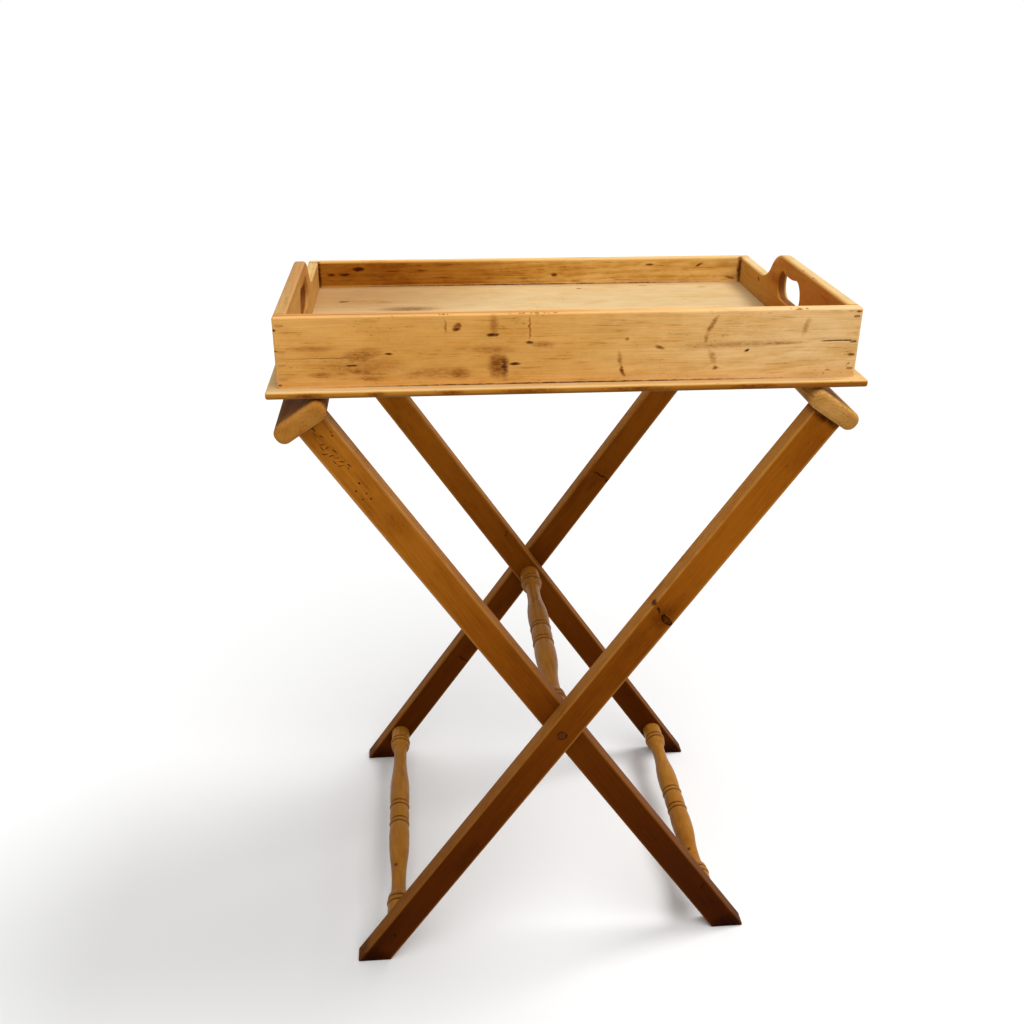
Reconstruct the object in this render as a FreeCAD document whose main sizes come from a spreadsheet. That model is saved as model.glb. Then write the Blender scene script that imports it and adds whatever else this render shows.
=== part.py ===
import FreeCAD, Part
import os
import re

import Sketcher

# Driving sizes of the table: lengths in millimetres, leg_lean in degrees.
SIZES = {
    # Tray
    "tray_length": 600.0,
    "tray_depth": 422.0,
    "tall_height": 74.0,
    "low_height": 34.0,
    "board_thickness": 13.0,
    "board_edge_radius": 2.5,
    "base_thickness": 8.0,
    "base_lip": 11.5,
    "base_edge_radius": 2.5,
    "ogee_setback": 107.0,
    "ogee_run": 80.0,
    "hole_setback": 218.0,
    "hole_length": 87.0,
    "hole_height": 35.0,
    "hole_rise": 22.0,
    "hole_dip": 3.0,
    "hole_edge_radius": 2.0,
    # Cut brads
    "brad_long": 6.0,
    "brad_wide": 2.4,
    "brad_length": 26.0,
    # Stand
    "pivot_height": 349.5,
    "leg_lean": 55.6,
    "leg_above_pivot": 482.5,
    "leg_width": 36.0,
    "leg_thickness": 22.0,
    "leg_edge_radius": 1.6,
    "leg_play": 0.6,
    "foot_nose": 3.0,
    "stand_depth": 445.0,
    "rail_width": 61.0,
    "rail_thickness": 21.0,
    "rail_length": 460.0,
    "rail_end_radius": 6.0,
    "tenon_width": 20.0,
    "tenon_thickness": 10.0,
    "tenon_length": 14.0,
    "glue_gap": 0.05,
    "cut_overrun": 2.0,
    # Turned stretchers
    "stretcher_drop": 365.0,
    "peg_diameter": 14.0,
    "pivot_diameter": 10.0,
    "pivot_clearance": 0.05,
    "barrel_length": 26.0,
    "barrel_diameter": 27.0,
    "barrel_swell": 0.8,
    "groove_width": 3.2,
    "groove_depth": 1.3,
    "bead_width": 5.0,
    "bead_rise": 1.2,
    "vase_diameter": 29.0,
    "vase_swell": 0.5,
    "vase_head": 27.0,
    "neck_diameter": 19.6,
    "neck_setback": 66.0,
    "neck_flare": 1.6,
    "neck_hollow": 0.3,
    "ovolo_width": 11.0,
    "ovolo_swell": 1.2,
    "collar_length": 22.0,
    "collar_diameter": 28.6,
    # Webbing
    "strap_width": 50.0,
    "strap_thickness": 1.6,
    "strap_clearance": 0.3,
    "strap_spacing": 230.0,
    "strap_landing": 24.0,
    "tack_head_diameter": 8.0,
    "tack_head_height": 1.2,
    "tack_shank_diameter": 2.0,
    "tack_shank_length": 11.0,
    "tack_setback": 15.0,
}

# Share of the rail's thickness that each of its long edges is rounded by.
RAIL_ROUND_SHARE = 0.45
# Share of a tack head's width that is left at the top of its cone.
TACK_TOP_SHARE = 0.5
# Base boards of the tray, from the tall side to the low side.
BASE_PLANKS = ("tray_base_near", "tray_base_middle", "tray_base_far")

# Sizes worked out from the driving ones.
DERIVED = {
    "lean_sine": "sin(leg_lean)",
    "lean_cosine": "cos(leg_lean)",
    "outer_leg_inside": "stand_depth / 2 - leg_thickness",
    "inner_leg_inside": "outer_leg_inside - leg_play - leg_thickness",
    "outer_leg_y": "outer_leg_inside + leg_thickness / 2",
    "inner_leg_y": "inner_leg_inside + leg_thickness / 2",
    "rail_top_reach": "leg_above_pivot + rail_thickness",
    "rail_round": f"rail_thickness * {RAIL_ROUND_SHARE}",
    "round_reach": "rail_top_reach - rail_round",
    "round_offset": "rail_width / 2 - rail_round",
    "round_x": "round_reach * lean_cosine - round_offset * lean_sine",
    "round_z": "pivot_height + round_reach * lean_sine + round_offset * lean_cosine",
    "strap_under": "rail_round + strap_clearance",
    "strap_over": "strap_under + strap_thickness",
    "tray_under_z": "round_z + strap_over + strap_clearance",
    "base_top_z": "tray_under_z + base_thickness",
    "board_y": "tray_depth / 2 - board_thickness / 2",
    "board_x": "tray_length / 2 - board_thickness / 2",
    "end_half": "tray_depth / 2 - board_thickness",
    "ogee_rise": "tall_height - low_height",
    "ogee_swell": "sqrt(ogee_run^2 + ogee_rise^2) / 4 * tan(atan(ogee_rise / ogee_run) / 2)",
    "hole_y": "tray_depth / 2 - hole_setback",
    "hole_end": "hole_height / 2",
    "hole_middle": "hole_rise + hole_end",
    "hole_run": "hole_length / 2 - hole_end",
    "dip_sine": "2 * hole_run * hole_dip / (hole_run^2 + hole_dip^2)",
    "dip_cosine": "sqrt(1 - dip_sine^2)",
    "dip_radius": "(hole_run^2 + hole_dip^2) / (2 * hole_dip) - hole_end",
    "base_half_length": "tray_length / 2 + base_lip",
    "base_half_depth": "tray_depth / 2 + base_lip",
    "plank_depth": f"2 * base_half_depth / {len(BASE_PLANKS)}",
    "peg_length": "leg_thickness / 2 - glue_gap",
    "pivot_pin_length": "stand_depth / 2 - inner_leg_inside",
}

# Heights of the brads in the near and far corners, as shares of their board's height.
TALL_BRAD_SHARES = (0.13, 0.33, 0.52, 0.88)
LOW_BRAD_SHARES = (0.28, 0.72)
# Places of the base brads, as shares of the half length and of the half depth inside the boards.
BASE_BRAD_LENGTH_SHARES = (-0.8, -0.4, 0.0, 0.4, 0.8)
BASE_BRAD_DEPTH_SHARES = (-0.62, 0.62)
# Places of the tacks across a strap, as shares of its width.
TACK_SHARES = (-0.32, 0.0, 0.32)

# Which way a frame's legs rise: the outer legs towards +X, the inner legs towards -X.
OUTER = 1
INNER = -1

NEAR_TO_ZERO = 1e-4
ALIASES = set(SIZES) | set(DERIVED)

doc = FreeCAD.newDocument("butlers_tray_table")
sheet = doc.addObject("Spreadsheet::Sheet", "Sizes")


def fill_sheet():
    """Write the driving sizes and then the worked-out sizes, one aliased cell each."""
    cells = {alias: str(number) for alias, number in SIZES.items()}
    cells.update({alias: "=" + formula for alias, formula in DERIVED.items()})
    for row, (alias, content) in enumerate(cells.items(), start=1):
        cell = f"B{row}"
        sheet.set(f"A{row}", alias)
        sheet.set(cell, content)
        sheet.setAlias(cell, alias)
    doc.recompute()


def tied(text):
    """Point each size named in an expression at its cell."""
    return re.sub(r"[a-z_]+", lambda word: "Sizes." + word[0] if word[0] in ALIASES else word[0], text)


def value(text):
    """Give the number that an expression comes to."""
    return float(sheet.evalExpression(text))


def bind(item, prop, text):
    """Tie one property to an expression in the sizes."""
    item.setExpression(prop, tied(text))


def place(item, x="0", y="0", z="0", axis=None, angle="0"):
    """Tie an object's place, and its turn about an axis, to the sizes."""
    turn = FreeCAD.Rotation(axis or FreeCAD.Vector(0, 0, 1), value(angle))
    item.Placement = FreeCAD.Placement(FreeCAD.Vector(value(x), value(y), value(z)), turn)
    bind(item, "Placement.Base.x", x)
    bind(item, "Placement.Base.y", y)
    bind(item, "Placement.Base.z", z)
    if axis:
        bind(item, "Placement.Rotation.Angle", angle)


def outline(body, name, plane_role, corners):
    """Draw a closed outline, counter-clockwise, with every corner tied to the sizes.

    A corner is (x, y) or (x, y, swell). A swell makes the edge to the next corner an arc
    that stands out by that much, or in if it is negative.
    """
    plane = next(item for item in body.Origin.OriginFeatures if item.Role == plane_role)
    sketch = body.newObject("Sketcher::SketchObject", name)
    sketch.AttachmentSupport = [(plane, "")]
    sketch.MapMode = "FlatFace"
    count = len(corners)
    points = [FreeCAD.Vector(value(corner[0]), value(corner[1]), 0) for corner in corners]
    starts = []
    for index, corner in enumerate(corners):
        here, there = points[index], points[(index + 1) % count]
        if len(corner) == 2:
            edge = sketch.addGeometry(Part.LineSegment(here, there), False)
            starts.append((edge, 1, 2))
            continue
        along = there - here
        out = FreeCAD.Vector(along.y, -along.x, 0).normalize()
        middle = (here + there) / 2 + out * value(corner[2])
        edge = sketch.addGeometry(Part.Arc(here, middle, there), False)
        forward = sketch.getPoint(edge, 1).distanceToPoint(here) < NEAR_TO_ZERO
        starts.append((edge, 1, 2) if forward else (edge, 2, 1))
    pins = []
    rules = []
    for index, corner in enumerate(corners):
        edge, start, end = starts[index]
        following = starts[(index + 1) % count]
        rules.append(Sketcher.Constraint("Coincident", edge, end, following[0], following[1]))
        for kind, number, text in (
            ("DistanceX", points[index].x, corner[0]),
            ("DistanceY", points[index].y, corner[1]),
        ):
            pins.append((len(rules), text))
            rules.append(Sketcher.Constraint(kind, -1, 1, edge, start, number))
        if len(corner) == 3:
            x, y = corners[(index + 1) % count][:2]
            chord = f"(({x}) - ({corner[0]}))^2 + (({y}) - ({corner[1]}))^2"
            radius = f"(({chord}) / 4 + ({corner[2]})^2) / (2 * abs({corner[2]}))"
            pins.append((len(rules), radius))
            rules.append(Sketcher.Constraint("Radius", edge, value(radius)))
    sketch.addConstraint(rules)
    for pin, text in pins:
        bind(sketch, f"Constraints[{pin}]", text)
    return sketch


def padded_body(name, plane_role, corners, thickness):
    """Make a body from one outline, padded evenly to both sides of its plane."""
    body = doc.addObject("PartDesign::Body", name)
    sketch = outline(body, name + "_outline", plane_role, corners)
    pad = body.newObject("PartDesign::Pad", name + "_pad")
    pad.Profile = sketch
    pad.SideType = "Symmetric"
    bind(pad, "Length", thickness)
    doc.recompute()
    return body


def block(body, kind, name, corner, size):
    """Add or take away a box in a body's own frame."""
    feature = body.newObject(f"PartDesign::{kind}Box", name)
    for prop, text in zip(("Length", "Width", "Height"), size):
        bind(feature, prop, text)
    place(feature, *corner)
    doc.recompute()


def bore(body, name, start, radius, depth):
    """Take a round hole out of a body, from start along its +Y."""
    before = body.Shape.Volume
    feature = body.newObject("PartDesign::SubtractiveCylinder", name)
    bind(feature, "Radius", radius)
    bind(feature, "Height", depth)
    place(feature, *start, axis=FreeCAD.Vector(1, 0, 0), angle="-90")
    doc.recompute()
    if body.Shape.Volume >= before:
        raise RuntimeError(f"{name} cuts nothing")


def ease(body, name, radius, chosen):
    """Round the edges of a body that a test on the edge picks."""
    base = body.Tip
    edges = [f"Edge{number}" for number, edge in enumerate(base.Shape.Edges, start=1) if chosen(edge)]
    if not edges:
        raise RuntimeError(f"{name} finds no edge")
    fillet = body.newObject("PartDesign::Fillet", name)
    fillet.Base = (base, edges)
    bind(fillet, "Radius", radius)
    doc.recompute()


def lies_at(edge, **places):
    """Say whether all of an edge lies at the given x, y or z."""
    ends = [vertex.Point for vertex in edge.Vertexes]
    return all(
        abs(getattr(end, axis) - number) < NEAR_TO_ZERO for axis, number in places.items() for end in ends
    )


def drilled(name, piece, *fasteners):
    """Cut the fasteners' own holes out of a piece."""
    for number, fastener in enumerate(fasteners, start=1):
        cut = doc.addObject("Part::Cut", f"{name}_cut_{number}")
        cut.Base = piece
        cut.Tool = fastener
        piece = cut
    return piece


def grouped(name, pieces):
    """Join separate solids into one group."""
    group = doc.addObject("Part::Compound", name)
    group.Links = pieces
    return group


def frame_x(hand, reach, offset):
    """Give the x of a point at a reach up a frame's leg and an offset towards its upper side."""
    return f"{hand} * (({reach}) * lean_cosine - ({offset}) * lean_sine)"


def frame_z(reach, offset):
    """Give the z of a point at a reach up a frame's leg and an offset towards its upper side."""
    return f"pivot_height + ({reach}) * lean_sine + ({offset}) * lean_cosine"


def lean(body, hand, y="0"):
    """Lean a body that was drawn along its own X into its frame."""
    place(body, "0", y, "pivot_height", FreeCAD.Vector(0, 1, 0), f"{-hand} * leg_lean")


def brad(name, centre, size):
    """Make one cut brad as a box round its centre."""
    box = doc.addObject("Part::Box", name)
    for prop, text in zip(("Length", "Width", "Height"), size):
        bind(box, prop, text)
    place(box, *(f"({middle}) - ({text}) / 2" for middle, text in zip(centre, size)))
    return box


def corner_brads():
    """Drive brads through the long boards into the ends of the end boards."""
    rows = ((-1, TALL_BRAD_SHARES, "tall_height"), (1, LOW_BRAD_SHARES, "low_height"))
    brads = []
    for side, shares, height in rows:
        for end in (-1, 1):
            for share in shares:
                centre = (
                    f"{end} * board_x",
                    f"{side} * (tray_depth / 2 - brad_length / 2)",
                    f"base_top_z + {share} * {height}",
                )
                size = ("brad_long", "brad_length", "brad_wide")
                brads.append(brad(f"corner_brad_{len(brads) + 1}", centre, size))
    return grouped("corner_brads", brads)


def base_brads():
    """Drive brads up through the base into the four boards."""
    height = "tray_under_z + brad_length / 2"
    spots = [
        (f"{share} * tray_length / 2", f"{side} * board_y", ("brad_long", "brad_wide", "brad_length"))
        for side in (-1, 1)
        for share in BASE_BRAD_LENGTH_SHARES
    ]
    spots += [
        (f"{end} * board_x", f"{share} * end_half", ("brad_wide", "brad_long", "brad_length"))
        for end in (-1, 1)
        for share in BASE_BRAD_DEPTH_SHARES
    ]
    brads = [
        brad(f"base_brad_{number}", (x, y, height), size) for number, (x, y, size) in enumerate(spots, start=1)
    ]
    return grouped("base_brads", brads)


def long_side(name, side, height):
    """Make a long board of the tray, with its top and its outer corners rounded."""
    half = "tray_length / 2"
    corners = [(f"-{half}", "0"), (half, "0"), (half, height), (f"-{half}", height)]
    body = padded_body(name + "_board", "XZ_Plane", corners, "board_thickness")
    outer = side * value("board_thickness") / 2
    top = value(height)
    ends = (value(half), -value(half))
    ease(
        body,
        name + "_rounding",
        "board_edge_radius",
        lambda edge: lies_at(edge, z=top) or any(lies_at(edge, x=end, y=outer) for end in ends),
    )
    place(body, "0", f"{side} * board_y", "base_top_z")
    return body


def hand_hole(body, name):
    """Cut a hand-hole with round ends and a slightly dipped top edge through an end board."""
    before = body.Shape.Volume
    quarter = "hole_end * (1 - cos(45))"
    upper = "hole_end * (1 - sqrt((1 - dip_sine) / 2))"
    shoulder = "(hole_run - hole_end * dip_sine)"
    top = "hole_middle + hole_end * dip_cosine"
    corners = [
        ("hole_y - hole_run", "hole_rise"),
        ("hole_y + hole_run", "hole_rise", quarter),
        ("hole_y + hole_length / 2", "hole_middle", upper),
        (f"hole_y + {shoulder}", top, "-dip_radius * (1 - dip_cosine)"),
        (f"hole_y - {shoulder}", top, upper),
        ("hole_y - hole_length / 2", "hole_middle", quarter),
    ]
    pocket = body.newObject("PartDesign::Pocket", name + "_pocket")
    pocket.Profile = outline(body, name + "_outline", "YZ_Plane", corners)
    pocket.Type = "ThroughAll"
    pocket.SideType = "Symmetric"
    doc.recompute()
    if body.Shape.Volume >= before:
        raise RuntimeError(f"{name} cuts nothing")


def end_board(name, end):
    """Make an end board: level near the tall side, an ogee down to the low side, and a hand-hole."""
    ogee_foot = "tray_depth / 2 - ogee_setback"
    corners = [
        ("-end_half", "0"),
        ("end_half", "0"),
        ("end_half", "low_height"),
        (ogee_foot, "low_height", "-ogee_swell"),
        (f"{ogee_foot} - ogee_run / 2", "low_height + ogee_rise / 2", "ogee_swell"),
        (f"{ogee_foot} - ogee_run", "tall_height"),
        ("-end_half", "tall_height"),
    ]
    body = padded_body(name + "_board", "YZ_Plane", corners, "board_thickness")
    faces = (value("board_thickness") / 2, -value("board_thickness") / 2)
    low = value("low_height") - NEAR_TO_ZERO

    def on_top(edge):
        """Say whether an edge runs along the top of the board."""
        return any(lies_at(edge, x=face) for face in faces) and min(v.Z for v in edge.Vertexes) > low

    ease(body, name + "_rounding", "board_edge_radius", on_top)
    hand_hole(body, name + "_hole")
    middle = FreeCAD.Vector(0, value("hole_y"), value("hole_middle"))
    reach = value("hole_length") / 2 + value("board_thickness") / 2 + NEAR_TO_ZERO

    def round_hole(edge):
        """Say whether an edge runs round the mouth of the hand-hole."""
        inside = all(vertex.Point.distanceToPoint(middle) < reach for vertex in edge.Vertexes)
        return inside and any(lies_at(edge, x=face) for face in faces)

    ease(body, name + "_hole_rounding", "hole_edge_radius", round_hole)
    place(body, f"{end} * board_x", "0", "base_top_z")
    return body


def base_plank(name, row):
    """Make one base board, rounded where its edges stand out as the lip. Row 0 is at the tall side."""
    near = f"{row} * plank_depth - base_half_depth"
    far = f"{row + 1} * plank_depth - base_half_depth"
    corners = [
        ("-base_half_length", near),
        ("base_half_length", near),
        ("base_half_length", far),
        ("-base_half_length", far),
    ]
    body = padded_body(name + "_board", "XY_Plane", corners, "base_thickness")
    ends = (value("base_half_length"), -value("base_half_length"))
    fronts = [value(side) for side in ("base_half_depth", "-base_half_depth")]

    def on_lip(edge):
        """Say whether an edge is on the outside of the lip."""
        across = any(lies_at(edge, x=end) for end in ends)
        along = any(lies_at(edge, y=front) for front in fronts)
        upright = abs(edge.Vertexes[0].Z - edge.Vertexes[1].Z) > NEAR_TO_ZERO
        return (across and along) if upright else (across or along)

    ease(body, name + "_rounding", "base_edge_radius", on_lip)
    place(body, "0", "0", "tray_under_z + base_thickness / 2")
    return body


def leg(name, hand, side, y, pivot_gap):
    """Make a leg with a flat foot, a tenon at its top, a pivot hole and a mortise for a stretcher."""
    lower_foot = f"{-hand} * (pivot_height - leg_width / 2 * lean_cosine) / lean_sine"
    tip = f"{-hand} * (pivot_height + leg_width / 2 * lean_cosine) / lean_sine"
    nose_swell = f"{hand} * foot_nose * tan(leg_lean / 2) * (1 - sin(leg_lean / 2))"
    corners = [
        (lower_foot, "-leg_width / 2"),
        (f"{hand} * leg_above_pivot", "-leg_width / 2"),
        (f"{hand} * leg_above_pivot", "leg_width / 2"),
        (f"{tip} + {hand} * foot_nose", "leg_width / 2", nose_swell),
        (f"{tip} + {hand} * foot_nose * lean_cosine", "leg_width / 2 - foot_nose * lean_sine"),
    ]
    body = padded_body(name, "XZ_Plane", corners, "leg_thickness")
    edges = (value("leg_width") / 2, -value("leg_width") / 2)
    faces = (value("leg_thickness") / 2, -value("leg_thickness") / 2)
    ease(
        body,
        name + "_rounding",
        "leg_edge_radius",
        lambda edge: any(lies_at(edge, y=face, z=rim) for face in faces for rim in edges),
    )
    start = "leg_above_pivot - cut_overrun" if hand == OUTER else "-leg_above_pivot - tenon_length"
    block(
        body,
        "Additive",
        name + "_tenon",
        (start, "-tenon_thickness / 2", "-tenon_width / 2"),
        ("tenon_length + cut_overrun", "tenon_thickness", "tenon_width"),
    )
    through = ("0", "-leg_thickness / 2 - cut_overrun", "0")
    bore(body, name + "_pivot", through, f"pivot_diameter / 2 + {pivot_gap}", "leg_thickness + 2 * cut_overrun")
    inside = "0" if side < 0 else "-leg_thickness / 2 - cut_overrun"
    mortise = (f"{-hand} * stretcher_drop", inside, "0")
    bore(body, name + "_mortise", mortise, "peg_diameter / 2 + glue_gap", "leg_thickness / 2 + cut_overrun")
    lean(body, hand, f"{side} * {y}")
    return body


def top_rail(name, hand, leg_y):
    """Make a top rail that sits across the tops of its two legs, mortised for their tenons."""
    low = f"{hand} * leg_above_pivot"
    high = f"{hand} * rail_top_reach"
    corners = [
        (low, "-rail_width / 2"),
        (high, "-rail_width / 2"),
        (high, "rail_width / 2"),
        (low, "rail_width / 2"),
    ]
    body = padded_body(name + "_board", "XZ_Plane", corners, "rail_length")
    half = value("rail_length") / 2
    ease(
        body,
        name + "_rounding",
        "rail_round",
        lambda edge: abs(edge.Vertexes[0].Y - edge.Vertexes[1].Y) > half,
    )
    ease(
        body,
        name + "_end_rounding",
        "rail_end_radius",
        lambda edge: lies_at(edge, y=half) or lies_at(edge, y=-half),
    )
    depth = "tenon_length + glue_gap"
    start = "leg_above_pivot - cut_overrun" if hand == OUTER else f"-leg_above_pivot - ({depth})"
    for side in (-1, 1):
        block(
            body,
            "Subtractive",
            f"{name}_mortise_{'near' if side < 0 else 'far'}",
            (start, f"{side} * {leg_y} - tenon_thickness / 2 - glue_gap", "-tenon_width / 2 - glue_gap"),
            (f"{depth} + cut_overrun", "tenon_thickness + 2 * glue_gap", "tenon_width + 2 * glue_gap"),
        )
    lean(body, hand)
    return body


def turned(name, half, pin_radius, pin_length, x, z):
    """Turn a stretcher between two legs, with a round pin at each end."""
    neck = "neck_diameter / 2"
    core = "barrel_diameter / 2"
    vase = "vase_diameter / 2"
    collar = "collar_diameter / 2"
    first_groove = "barrel_length / 2"
    bead = f"{first_groove} + groove_width"
    second_groove = f"{bead} + bead_width"
    shoulder = f"{second_groove} + groove_width"
    end_groove = f"{half} - collar_length - groove_width"
    end_bead = f"{end_groove} - bead_width"
    inner_groove = f"{end_bead} - groove_width"
    ovolo = f"{inner_groove} - ovolo_width"
    belly = f"{shoulder} + vase_head"
    waist = f"{half} - neck_setback"
    run = f"(({waist}) - ({belly}))"
    fall = f"({vase} - {neck})"
    sweep = f"sqrt({run}^2 + {fall}^2) / 4 * tan(atan({fall} / {run}) / 2)"
    side = [
        (first_groove, core, "-groove_depth"),
        (bead, core, "bead_rise"),
        (second_groove, core, "-groove_depth"),
        (shoulder, core, "vase_swell"),
        (belly, vase, sweep),
        (f"(({belly}) + ({waist})) / 2", f"({vase} + {neck}) / 2", f"-({sweep})"),
        (waist, neck, "-neck_hollow"),
        (ovolo, f"{neck} + neck_flare / 2", "ovolo_swell"),
        (inner_groove, collar, "-groove_depth"),
        (end_bead, collar, "bead_rise"),
        (end_groove, collar, "-groove_depth"),
        (f"{half} - collar_length", collar),
        (half, collar),
        (half, pin_radius),
        (f"{half} + {pin_length}", pin_radius),
        (f"{half} + {pin_length}", "0"),
    ]
    places = [(f"-({item[0]})", item[1]) for item in side]
    swells = [item[2:] for item in side]
    corners = [places[-1], (side[-1][0], "0")]
    corners += [side[index][:2] + swells[index - 1] for index in range(len(side) - 2, 0, -1)]
    corners += [(first_groove, core, "barrel_swell")]
    corners += [places[index] + swells[index] for index in range(len(side) - 1)]
    body = doc.addObject("PartDesign::Body", name)
    profile = outline(body, name + "_profile", "XY_Plane", corners)
    turning = body.newObject("PartDesign::Revolution", name + "_turning")
    turning.Profile = profile
    turning.ReferenceAxis = (profile, ["H_Axis"])
    doc.recompute()
    place(body, x, "0", z, FreeCAD.Vector(0, 0, 1), "90")
    return body


def strap(name, side):
    """Make a webbing strap over both rails, from its landing on one to its landing on the other."""
    bend = "(1 - cos((90 - leg_lean) / 2))"

    def level(hand, height):
        """Give the corners of one face of the strap on one rail: landing, start of the bend, top."""
        reach = f"round_reach + {height}"
        landing = "round_offset - strap_landing"
        return [
            (frame_x(hand, reach, landing), frame_z(reach, landing)),
            (frame_x(hand, reach, "round_offset"), frame_z(reach, "round_offset")),
            (f"{hand} * round_x", f"round_z + {height}"),
        ]

    under = f"-strap_under * {bend}"
    over = f"strap_over * {bend}"
    left, right = level(INNER, "strap_under"), level(OUTER, "strap_under")
    corners = [left[0], left[1] + (under,), left[2], right[2] + (under,), right[1], right[0]]
    left, right = level(INNER, "strap_over"), level(OUTER, "strap_over")
    corners += [right[0], right[1] + (over,), right[2], left[2] + (over,), left[1], left[0]]
    body = padded_body(name + "_webbing", "XZ_Plane", corners, "strap_width")
    place(body, "0", f"{side} * strap_spacing / 2")
    return body


def strap_tacks(name, hand):
    """Drive tacks through both straps into one rail."""
    reach = "round_reach + strap_over"
    offset = "round_offset - tack_setback"
    turn = {"axis": FreeCAD.Vector(0, 1, 0), "angle": f"{hand} * (90 - leg_lean)"}
    tacks = []
    for side in (-1, 1):
        for share in TACK_SHARES:
            number = len(tacks) + 1
            y = f"{side} * strap_spacing / 2 + {share} * strap_width"
            head = doc.addObject("Part::Cone", f"{name}_head_{number}")
            bind(head, "Radius1", "tack_head_diameter / 2")
            bind(head, "Radius2", f"tack_head_diameter / 2 * {TACK_TOP_SHARE}")
            bind(head, "Height", "tack_head_height")
            place(head, frame_x(hand, reach, offset), y, frame_z(reach, offset), **turn)
            shank = doc.addObject("Part::Cylinder", f"{name}_shank_{number}")
            bind(shank, "Radius", "tack_shank_diameter / 2")
            bind(shank, "Height", "tack_shank_length")
            point = f"{reach} - tack_shank_length"
            place(shank, frame_x(hand, point, offset), y, frame_z(point, offset), **turn)
            tack = doc.addObject("Part::Fuse", f"{name}_tack_{number}")
            tack.Base = head
            tack.Tool = shank
            tacks.append(tack)
    return grouped(name, tacks)


def tray():
    """Build the tray and give its sub-parts by name."""
    corner_fixings = corner_brads()
    base_fixings = base_brads()
    boards = {
        "tray_tall_side": long_side("tall_side", -1, "tall_height"),
        "tray_low_side": long_side("low_side", 1, "low_height"),
        "tray_left_end": end_board("left_end", -1),
        "tray_right_end": end_board("right_end", 1),
    }
    nodes = {name: drilled(name, board, corner_fixings, base_fixings) for name, board in boards.items()}
    for row, name in enumerate(BASE_PLANKS):
        nodes[name] = drilled(name, base_plank(name, row), base_fixings)
    nodes["corner_brads"] = corner_fixings
    nodes["base_brads"] = base_fixings
    return nodes


def folding_frame(name, hand, leg_y, inside, pivot_gap):
    """Build one of the two folding frames and give its sub-parts by name."""
    tacks = strap_tacks(name + "_strap_tacks", hand)
    nodes = {
        f"{name}_near_leg": leg(f"{name}_near_leg", hand, -1, leg_y, pivot_gap),
        f"{name}_far_leg": leg(f"{name}_far_leg", hand, 1, leg_y, pivot_gap),
        f"{name}_top_rail": drilled(f"{name}_top_rail", top_rail(f"{name}_rail", hand, leg_y), tacks),
        f"{name}_strap_tacks": tacks,
    }
    nodes[f"{name}_lower_stretcher"] = turned(
        f"{name}_lower_stretcher",
        inside,
        "peg_diameter / 2",
        "peg_length",
        frame_x(hand, "-stretcher_drop", "0"),
        frame_z("-stretcher_drop", "0"),
    )
    return nodes


def stand():
    """Build the folding stand and give its sub-parts by name."""
    nodes = folding_frame("outer", OUTER, "outer_leg_y", "outer_leg_inside", "pivot_clearance")
    nodes.update(folding_frame("inner", INNER, "inner_leg_y", "inner_leg_inside", "glue_gap"))
    nodes["centre_stretcher"] = turned(
        "centre_stretcher", "inner_leg_inside", "pivot_diameter / 2", "pivot_pin_length", "0", "pivot_height"
    )
    tacks = (nodes["outer_strap_tacks"], nodes["inner_strap_tacks"])
    for name, side in (("strap_near", -1), ("strap_far", 1)):
        nodes[name] = drilled(name, strap(name, side), *tacks)
    return nodes


def check(nodes):
    """Stop if any object failed or any sub-part is not a valid solid."""
    failed = [item.Name for item in doc.Objects if {"Invalid", "Error"} & set(item.State)]
    failed += [name for name, item in nodes.items() if item.Shape.isNull() or not item.Shape.isValid()]
    if failed:
        raise RuntimeError(f"these objects failed: {failed}")


def write(nodes):
    """Write each sub-part to its own file."""
    os.makedirs("parts", exist_ok=True)
    for name, item in sorted(nodes.items()):
        item.Label = name
        item.Shape.exportStep(f"parts/{name}.step")
        print(f"{name}: {len(item.Shape.Solids)} solids, {item.Shape.Volume / 1000:.2f} cm3")


fill_sheet()
sub_parts = {**tray(), **stand()}
doc.recompute()
check(sub_parts)
write(sub_parts)
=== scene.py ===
"""Dress the butlers tray table: a waxed pine tray on a folding stand with turned stretchers."""

import logging
import math
from dataclasses import dataclass, replace
from enum import Enum, IntEnum
from typing import ClassVar

import bpy
from mathutils import Matrix, Vector


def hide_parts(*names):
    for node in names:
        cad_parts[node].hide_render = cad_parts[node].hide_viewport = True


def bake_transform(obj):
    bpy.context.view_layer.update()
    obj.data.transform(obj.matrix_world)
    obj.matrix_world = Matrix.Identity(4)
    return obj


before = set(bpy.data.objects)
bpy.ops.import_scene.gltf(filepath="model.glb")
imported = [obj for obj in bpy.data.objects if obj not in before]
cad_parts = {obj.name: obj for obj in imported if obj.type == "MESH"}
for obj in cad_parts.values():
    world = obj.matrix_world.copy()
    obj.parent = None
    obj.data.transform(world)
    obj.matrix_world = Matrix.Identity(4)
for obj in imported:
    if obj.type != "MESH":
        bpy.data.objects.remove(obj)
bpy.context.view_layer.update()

LOG = logging.getLogger("tray_table")

Colour = tuple[float, float, float]
Triple = tuple[float, float, float]
Socket = bpy.types.NodeSocket
Number = Socket | float


class Hand(IntEnum):
    """A frame of the stand, by the way its legs lean, or neither for what lies between the two."""

    OUTER = 1
    INNER = -1
    NEITHER = 0


class Flank(IntEnum):
    """A side of the table, as seen from the front."""

    NEAR = -1
    FAR = 1


class End(IntEnum):
    """An end of the table, as seen from the front."""

    LEFT = -1
    RIGHT = 1


class Saw(Enum):
    """Where the heart of the log lies from the middle of a piece, across its width and its thickness."""

    FLAT = (0.006, -0.075)
    SLAB = (-0.012, -0.045)
    RIFT = (0.055, -0.05)
    QUARTER = (0.09, -0.012)
    BOXED = (0.004, -0.003)


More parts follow.
